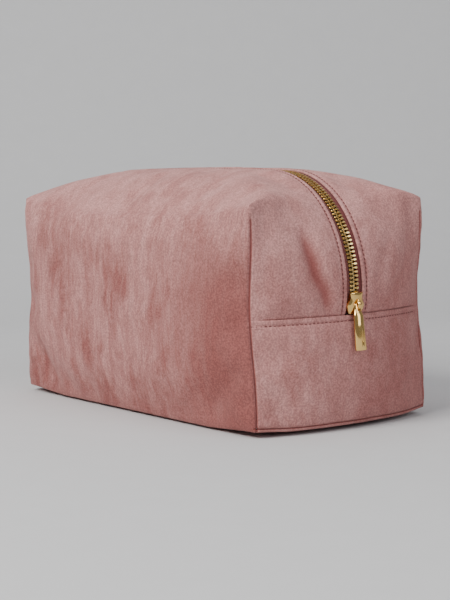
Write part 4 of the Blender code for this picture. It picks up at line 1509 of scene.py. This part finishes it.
# ---- Zip ------------------------------------------------------------------------------
@dataclass
class Zip:
    """Woven tapes and their metal elements."""

    form: PouchForm
    relief: Relief
    finishes: Finishes
    repeater: Repeater
    tape: float = 0.0006
    tape_depth: float = 0.0016
    tape_inner: float = 0.0026
    tape_outer: float = 0.0140
    pitch: float = 0.00205
    chain_top: float = 0.0006
    chain_bottom: float = 0.0031
    chain_half: float = 0.0030
    slider_angle: float = math.radians(-7.7)

    def build(self) -> None:
        """Makes the tapes and the rows of elements."""
        for side in Side:
            tape = self._tape(side)
            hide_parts(f"zip_tape_{side.word}")
            blend_mouth(tape)
            row = self._row(side)
            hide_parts(f"zip_chain_{side.word}")
            blend_mouth(row)
            LOG.info("made the %s tape and its elements", side.word)

    def line(self, start: float, stop: float, depth: float, y: float) -> list[tuple[Vector, Vector]]:
        """(place, outward) along the zip, from the far end up and over to the slider.

        Args:
            start: Angle of the far end's first point, below the horizontal when negative.
            stop: Angle of the last point, at the slider.
            depth: Depth of the line under the skin.
            y: Distance from the middle plane.

        Returns:
            The route's points.
        """
        form = self.form
        half = []
        for turn in runs((0, 1, 40), (1, 2, 30)):
            x, z = form.top_column(turn)
            half.append((x, z, math.radians(mix(45, 90, min(turn, 1)))))
        right = [(*form.on_arc(a), a) for a in runs((stop, math.radians(45), 30))[:-1]] + half
        left = [(*form.on_arc(a), a) for a in runs((start, math.radians(45), 32))[:-1]] + half
        points = []
        for sign, part in ((-1, left), (1, right[::-1])):
            for x, z, angle in part if sign < 0 else part[1:]:
                out = Vector((sign * math.cos(angle), 0, math.sin(angle)))
                place = Vector((sign * x + form.centre_shift, y, z)) - out * depth
                points.append((place, out))
        return points

    def _tape(self, side: Side) -> bpy.types.Object:
        """One tape, a woven strip under the cloth's edge with its map along the zip."""
        form = self.form
        route = self.line(form.seam_angle + 0.01, form.seam_angle + 0.01, self.tape_depth, 0.0)
        steps = runs((self.tape_inner, self.tape_outer, 6))
        mesh = bmesh.new()
        chart = mesh.loops.layers.uv.new("cloth")
        rest = mesh.verts.layers.float_vector.new(REST)
        rows, gone = [], 0.0
        for index, (place, out) in enumerate(route):
            gone += (place - route[index - 1][0]).length if index else 0.0
            row = []
            for aside in steps:
                bend = 0.9 * aside * aside / 0.06
                vert = mesh.verts.new(place + Vector((0, side.value * aside, 0)) - out * bend * 0.06)
                vert[rest] = vert.co
                row.append((vert, (gone, aside)))
            rows.append(row)
        for first, second in zip(rows, rows[1:]):
            for j in range(len(steps) - 1):
                corners = [first[j], second[j], second[j + 1], first[j + 1]]
                corners = corners if side is Side.FRONT else corners[::-1]
                quad = mesh.faces.new([vert for vert, _ in corners])
                for loop, (_, uv) in zip(quad.loops, corners):
                    loop[chart].uv = uv
        mesh.normal_update()
        if sum(face.normal.z for face in mesh.faces) < 0:
            bmesh.ops.reverse_faces(mesh, faces=mesh.faces)
        obj = mesh_object(f"tape_{side.word}", mesh)
        dress(thicken(obj, self.tape), self.finishes.tape)
        return obj

    def _element(self) -> bpy.types.Object:
        """One metal element: legs clamped on the tape, a neck, and a rounded head.

        It lies along X with its head towards -Y and its top at +Z.
        """
        outline = ((0.00040, 0.0030), (0.00066, 0.0026), (0.00068, 0.0015), (0.00036, 0.0010),
                   (0.00036, 0.0004), (0.00056, 0.0), (0.00040, -0.00055))
        mesh = bmesh.new()
        right = [(x, y) for x, y in outline]
        ring = right + [(-x, y) for x, y in reversed(right)]
        plate = mesh.faces.new([mesh.verts.new((x, y, 0)) for x, y in ring])
        lifted = bmesh.ops.extrude_face_region(mesh, geom=[plate])["geom"]
        top = [g for g in lifted if isinstance(g, bmesh.types.BMVert)]
        bmesh.ops.translate(mesh, verts=top, vec=(0, 0, self.chain_bottom - self.chain_top))
        for vert in top:
            if abs(vert.co.y) < 0.0011:
                vert.co.z -= 0.0004
        bmesh.ops.recalc_face_normals(mesh, faces=mesh.faces)
        rim = [e for e in mesh.edges if all(v in top for v in e.verts)]
        bmesh.ops.bevel(mesh, geom=rim, offset=0.00034, segments=2, affect="EDGES")
        return helper("zip_element", mesh)

    def _row(self, side: Side) -> bpy.types.Object:
        """One row of elements, half a pitch out of step with the other row."""
        form = self.form
        element = self._element()
        if side is Side.FRONT:
            for vert in element.data.vertices:
                vert.co.y *= -1
            element.data.flip_normals()
        phase = 0.0 if side is Side.BACK else 0.5 * self.pitch / form.arc_radius
        route = self.line(form.seam_angle + math.radians(5.5) + phase,
                          self.slider_angle + 0.02 - phase, self.chain_bottom, 0.0)
        row = self.repeater.lay(f"elements_{side.word}", route, element, self.finishes.elements,
                                Spacing=self.pitch, Wobble=0.02, Seed=11)
        bpy.data.objects.remove(element, do_unlink=True)
        row.data.shade_smooth()
        row.data.set_sharp_from_angle(angle=math.radians(40))
        return row


@dataclass
class Topstitching:
    """Lines of stitches beside the zip and under the end panels' hems."""

    form: PouchForm
    outer: OuterCloth
    finishes: Finishes
    repeater: Repeater
    spacing: float = 0.0024
    length: float = 0.0016
    radius: float = 0.00024

    def build(self) -> None:
        """Makes the four lines of stitches."""
        form = self.form
        stitch = self._stitch()
        route = Zip(form, self.outer.relief, self.finishes, self.repeater).line
        for side in Side:
            line = route(form.seam_angle + 0.05, form.seam_angle + 0.05, 0.0, side.value * form.stitch_offset)
            obj = self._sew(f"stitches_{side.word}", line, side.word, stitch)
            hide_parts(f"topstitch_{side.word}")
            blend_mouth(obj)
        for end in End:
            reach = form.half_depth - 0.0025
            line = []
            for y in runs((-reach, reach, 60)):
                point = form.end_point(form.seam_height - form.hem_stitch, abs(y) / form.half_depth)
                line.append((Vector((end.value * point.x + form.centre_shift, y, point.z)),
                             Vector((end.value, 0, 0))))
            obj = self._sew(f"stitches_end_{end.word}", line, f"end_{end.word}", stitch)
            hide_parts(f"topstitch_end_{end.word}")
            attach(obj, "root")
        bpy.data.objects.remove(stitch, do_unlink=True)
        LOG.info("sewed the topstitching")

    def _sew(self, name: str, line: Sequence[tuple[Vector, Vector]], surface: str,
             stitch: bpy.types.Object) -> bpy.types.Object:
        """Stitches on a line that is first laid on the cloth's own surface."""
        laid = []
        for place, out in line:
            spot, normal, _, _ = self.outer.surfaces[surface].find_nearest(place)
            normal = normal if normal.dot(out) > 0 else -normal
            laid.append((spot + normal * (self.radius * 0.6), normal))
        obj = self.repeater.lay(name, laid, stitch, self.finishes.thread, Spacing=self.spacing,
                                Tilt=0.10, Wobble=0.05, Seed=5)
        return obj

    def _stitch(self) -> bpy.types.Object:
        """One stitch, an arched bit of thread whose ends dive into the cloth."""
        mesh = bmesh.new()
        rings = []
        for step in range(7):
            share = step / 6
            x = (share - 0.5) * self.length
            z = 0.00012 - 0.0005 * (2 * share - 1) ** 4
            thin = self.radius * (1 - 0.35 * abs(2 * share - 1) ** 3)
            ring = []
            for corner in range(6):
                angle = math.tau * corner / 6
                ring.append(mesh.verts.new((x, thin * math.cos(angle), z + thin * math.sin(angle))))
            rings.append(ring)
        for first, second in zip(rings, rings[1:]):
            for i in range(6):
                mesh.faces.new([first[i], first[(i + 1) % 6], second[(i + 1) % 6], second[i]])
        mesh.faces.new(rings[0])
        mesh.faces.new(rings[-1])
        bmesh.ops.recalc_face_normals(mesh, faces=mesh.faces)
        return helper("stitch", mesh)


# ---- Slider and pull ------------------------------------------------------------------
@dataclass
class Slider:
    """Slider with its hood, and the bar pull that hangs from it."""

    form: PouchForm
    finishes: Finishes
    angle: float = math.radians(-7.7)
    length: float = 0.0112
    pull_length: float = 0.0240
    pull_lean: float = math.radians(6.0)
    bridge_slide: float = -0.0005
    bridge_foot: float = 0.0016
    bridge_radius: float = 0.0006
    bridge_reach: float = 0.0025
    outline: tuple[tuple[float, float], ...] = (
        (0.0058, 0.0031), (0.0056, 0.0041), (0.0050, 0.0044), (0.0044, 0.0040), (0.0030, 0.0038),
        (0.0012, 0.0044), (-0.0004, 0.0055), (-0.0014, 0.0057), (-0.0028, 0.0053),
        (-0.0046, 0.0047), (-0.0054, 0.0043), (-0.0056, 0.0033))

    @property
    def frame(self) -> tuple[Vector, Vector, Vector]:
        """Origin, upward tangent and outward normal of the closed slider."""
        x, z = self.form.on_arc(self.angle)
        tangent = Vector((-math.sin(self.angle), 0, math.cos(self.angle)))
        normal = Vector((math.cos(self.angle), 0, math.sin(self.angle)))
        return Vector((x + self.form.centre_shift, 0, z)), tangent, normal

    def at(self, along: float, aside: float, height: float) -> Vector:
        """Point in the slider's own directions."""
        origin, tangent, normal = self.frame
        return origin + tangent * along + Vector((0, aside, 0)) + normal * height

    def build(self) -> None:
        """Makes the slider and the pull."""
        slider = self._slider()
        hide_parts("slider_body", "slider_bridge")
        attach(slider, "slider")
        pull = self._pull()
        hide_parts("zip_pull")
        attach(pull, "pull")
        LOG.info("made the slider and its pull")

    def _shell(self, mesh: bmesh.types.BMesh, rings: Sequence[Sequence[Vector]]) -> None:
        """Adds a closed shell over rings of points that follow one another."""
        placed = [[mesh.verts.new(point) for point in ring] for ring in rings]
        faces = [mesh.faces.new(placed[0]), mesh.faces.new(placed[-1])]
        for first, second in zip(placed, placed[1:]):
            for i in range(len(first)):
                j = (i + 1) % len(first)
                faces.append(mesh.faces.new([first[i], first[j], second[j], second[i]]))
        bmesh.ops.recalc_face_normals(mesh, faces=faces)

    def _slider(self) -> bpy.types.Object:
        """Domed upper wing with ears and shoulders, its hood, flanges, post and lower wing."""
        mesh = bmesh.new()
        last = len(self.outline) - 1
        domed = []
        for index, (along, half) in enumerate(self.outline):
            height = 0.0009 + 0.0011 * math.sin(math.pi * index / last) ** 0.5
            ring = [(-half, -0.0002), (-half, 0.42 * height), (-0.86 * half, 0.72 * height),
                    (-0.45 * half, 0.95 * height), (0, height)]
            ring += [(-aside, up) for aside, up in reversed(ring[:-1])]
            domed.append([self.at(along, aside, up) for aside, up in ring])
        self._shell(mesh, domed)
        self._shell(mesh, [[self.at(along, aside, up) for aside, up in
                            ((-half, -0.0048), (-half, -0.0036), (half, -0.0036), (half, -0.0048))]
                           for along, half in self.outline])
        for side in Side:
            for low, high in ((-0.0011, 0.0), (-0.0038, -0.0031)):
                self._shell(mesh, [[self.at(along, side.value * aside, up) for aside, up in
                                    ((half - 0.0010, low), (half - 0.0001, low),
                                     (half - 0.0001, high), (half - 0.0010, high))]
                                   for along, half in self.outline[3:-2]])
        self._shell(mesh, [[self.at(along, aside, up) for along, aside in
                            ((-0.0006, 0.0), (-0.0025, 0.0011), (-0.0039, 0.0011),
                             (-0.0039, -0.0011), (-0.0025, -0.0011))]
                           for up in (-0.0038, 0.0002)])
        hood = []
        for step in range(15):
            turn = math.pi * step / 14
            middle = (self.bridge_slide + self.bridge_reach * math.cos(turn),
                      self.bridge_foot + self.bridge_reach * math.sin(turn))
            half = self.bridge_radius + 0.0009 * math.sin(turn) ** 4
            ring = []
            for corner in range(10):
                angle = math.tau * corner / 10
                reach = self.bridge_radius * math.sin(angle)
                ring.append(self.at(middle[0] + reach * math.cos(turn), half * math.cos(angle),
                                    middle[1] + reach * math.sin(turn)))
            hood.append(ring)
        self._shell(mesh, hood)
        slider = mesh_object("zip_slider", mesh)
        slider.data.set_sharp_from_angle(angle=math.radians(38))
        return dress(slider, self.finishes.hardware)

    def _pull(self) -> bpy.types.Object:
        """Half-round bar with a narrow head, a window for the loop and a small dimple."""
        pivot = self.at(self.bridge_slide, 0, self.bridge_foot + self.bridge_radius)
        sections = ((-0.0007, 0.0012, 0.0006), (-0.0005, 0.0018, 0.0009), (0.0005, 0.0021, 0.0011),
                    (0.0036, 0.0023, 0.0013), (0.0044, 0.0027, 0.0018), (0.0058, 0.0031, 0.0024),
                    (self.pull_length - 0.0004, 0.0037, 0.0026), (self.pull_length, 0.0035, 0.0024))
        mesh = bmesh.new()
        rings = []
        for down, half, thickness in sections:
            ring = [(-0.0005, -half), (-0.0005, half)]
            for step in range(1, 12):
                turn = math.pi * step / 12
                ring.append((-0.0005 + thickness * math.sin(turn), half * math.cos(turn)))
            rings.append([mesh.verts.new(pivot + Vector((out, y, -down))) for out, y in ring])
        for first, second in zip(rings, rings[1:]):
            for i in range(len(first)):
                j = (i + 1) % len(first)
                mesh.faces.new([first[i], first[j], second[j], second[i]])
        mesh.faces.new(rings[0])
        mesh.faces.new(rings[-1])
        bmesh.ops.recalc_face_normals(mesh, faces=mesh.faces)
        obj = mesh_object("bar_pull", mesh)
        window = bmesh.new()
        bmesh.ops.create_cube(window, size=1)
        bmesh.ops.scale(window, verts=window.verts, vec=(0.01, 0.0020, 0.0030))
        bmesh.ops.translate(window, verts=window.verts, vec=pivot - Vector((0, 0, 0.0020)))
        dimple = bmesh.new()
        bmesh.ops.create_uvsphere(dimple, u_segments=20, v_segments=12, radius=0.0009)
        spot = pivot + Vector((0.0026, 0, 0.0049 - self.pull_length))
        bmesh.ops.translate(dimple, verts=dimple.verts, vec=spot)
        cutters = [helper("pull_window", window), helper("pull_dimple", dimple)]
        for cutter in cutters:
            cut = obj.modifiers.new(cutter.name, "BOOLEAN")
            cut.object = cutter
        bevel = obj.modifiers.new("edges", "BEVEL")
        bevel.width = 0.00018
        bevel.segments = 2
        bevel.limit_method = "ANGLE"
        bevel.angle_limit = math.radians(50)
        plain = settled(obj)
        for cutter in cutters:
            bpy.data.objects.remove(cutter, do_unlink=True)
        lean = Matrix.Rotation(-self.pull_lean, 4, "Y")
        plain.data.transform(Matrix.Translation(pivot) @ lean @ Matrix.Translation(-pivot))
        plain.data.shade_smooth()
        plain.data.set_sharp_from_angle(angle=math.radians(40))
        return dress(plain, self.finishes.hardware)


@dataclass
class Stops:
    """Small metal stops, as packed, in the polished finish."""

    finishes: Finishes

    def build(self) -> None:
        """Dresses the three stops."""
        for node in ("top_stop_front", "top_stop_back", "bottom_stop"):
            dress(bpy.data.objects[node], self.finishes.hardware)


# ---- Studio ---------------------------------------------------------------------------
@dataclass
class Studio:
    """Seamless paper sweep, soft lights and the camera."""

    finishes: Finishes
    camera_place: tuple[float, float, float] = (0.7548, -0.5502, 0.1494)
    yaw: float = math.radians(-53.56)
    pitch: float = math.radians(5.47)
    roll: float = math.radians(-1.047)
    lens: float = 96.0
    sweep_start: float = 0.45
    sweep_radius: float = 0.60
    sweep_half: float = 1.6
    sweep_front: float = 0.62

    def build(self) -> None:
        """Makes the sweep, the lights, the world and the camera."""
        self._sweep()
        self._light("key", 8, 40, 1.5, 0.7, 23.0, (1.0, 0.985, 0.96))
        self._light("fill", 95, 30, 1.8, 1.2, 12.0, (0.97, 0.98, 1.0))
        self._light("top", -60, 78, 1.6, 1.2, 6.0, (1.0, 1.0, 1.0))
        world = bpy.data.worlds.new("studio_air")
        bpy.context.scene.world = world
        world.use_nodes = True
        air = world.node_tree.nodes["Background"]
        air.inputs["Color"].default_value = (0.93, 0.95, 1.0, 1)
        air.inputs["Strength"].default_value = 0.24
        self._camera()

    def _sweep(self) -> None:
        """Paper that runs flat under the pouch and curves up far behind it."""
        ahead = Vector((math.sin(self.yaw), math.cos(self.yaw), 0))
        across = Vector((ahead.y, -ahead.x, 0))
        profile = [(-self.sweep_front, 0.0), (self.sweep_start, 0.0)]
        for step in range(1, 25):
            angle = math.pi / 2 * step / 24
            profile.append((self.sweep_start + self.sweep_radius * math.sin(angle),
                            self.sweep_radius * (1 - math.cos(angle))))
        profile.append((self.sweep_start + self.sweep_radius, 3.0))
        mesh = bmesh.new()
        rows = [[mesh.verts.new(ahead * d + across * s * self.sweep_half + Vector((0, 0, z)))
                 for s in (-1, 1)] for d, z in profile]
        for first, second in zip(rows, rows[1:]):
            mesh.faces.new([first[0], first[1], second[1], second[0]])
        bmesh.ops.recalc_face_normals(mesh, faces=mesh.faces)
        if sum(face.normal.z for face in mesh.faces) < 0:
            bmesh.ops.reverse_faces(mesh, faces=mesh.faces)
        dress(mesh_object("backdrop", mesh), self.finishes.paper)

    @staticmethod
    def _light(name: str, azimuth: float, elevation: float, distance: float, size: float,
               power: float, colour: tuple[float, float, float]) -> None:
        """Adds a soft area light that looks at the pouch.

        Args:
            name: The light's name.
            azimuth: Degrees round from -Y towards +X.
            elevation: Degrees above the ground.
            distance: Metres from the pouch's middle.
            size: Side of its square.
            power: Watts.
            colour: Its colour.
        """
        light = bpy.data.lights.new(name, "AREA")
        light.size, light.energy, light.color = size, power, colour
        obj = bpy.data.objects.new(name, light)
        bpy.context.scene.collection.objects.link(obj)
        a, e = math.radians(azimuth), math.radians(elevation)
        back = Vector((math.sin(a) * math.cos(e), -math.cos(a) * math.cos(e), math.sin(e)))
        obj.location = Vector((0, 0, 0.06)) + back * distance
        obj.rotation_euler = (-back).to_track_quat("-Z", "Y").to_euler()

    def _camera(self) -> None:
        """Sets the camera at its viewing angle."""
        data = bpy.data.cameras.new("camera")
        data.lens = self.lens
        camera = bpy.data.objects.new("camera", data)
        bpy.context.scene.collection.objects.link(camera)
        camera.location = self.camera_place
        ahead = Vector((math.sin(self.yaw) * math.cos(self.pitch),
                        math.cos(self.yaw) * math.cos(self.pitch), -math.sin(self.pitch)))
        right = Vector((math.cos(self.yaw), -math.sin(self.yaw), 0))
        up = right.cross(ahead)
        turned_right = right * math.cos(self.roll) + up * math.sin(self.roll)
        turned_up = up * math.cos(self.roll) - right * math.sin(self.roll)
        matrix = camera.matrix_world.to_3x3()
        for row in range(3):
            matrix[row] = (turned_right[row], turned_up[row], -ahead[row])
        camera.rotation_euler = matrix.to_euler()
        bpy.context.scene.camera = camera


def main() -> None:
    """Builds every piece of the pouch, then the studio round it."""
    logging.basicConfig(level=logging.INFO, format="%(name)s: %(message)s")
    form = PouchForm()
    skin = Skin(form, Softening.make(form))
    relief = Relief(form)
    finishes = Finishes.make()
    repeater = Repeater.make()
    stuffing = Stuffing(form, skin)
    stuffing.run()
    outer = OuterCloth(form, skin, relief, stuffing, finishes)
    outer.build()
    InnerLayers(form, skin, relief, stuffing, finishes).build()
    Zip(form, relief, finishes, repeater).build()
    Topstitching(form, outer, finishes, repeater).build()
    Slider(form, finishes).build()
    Stops(finishes).build()
    Studio(finishes).build()


if __name__ == "__main__":
    main()
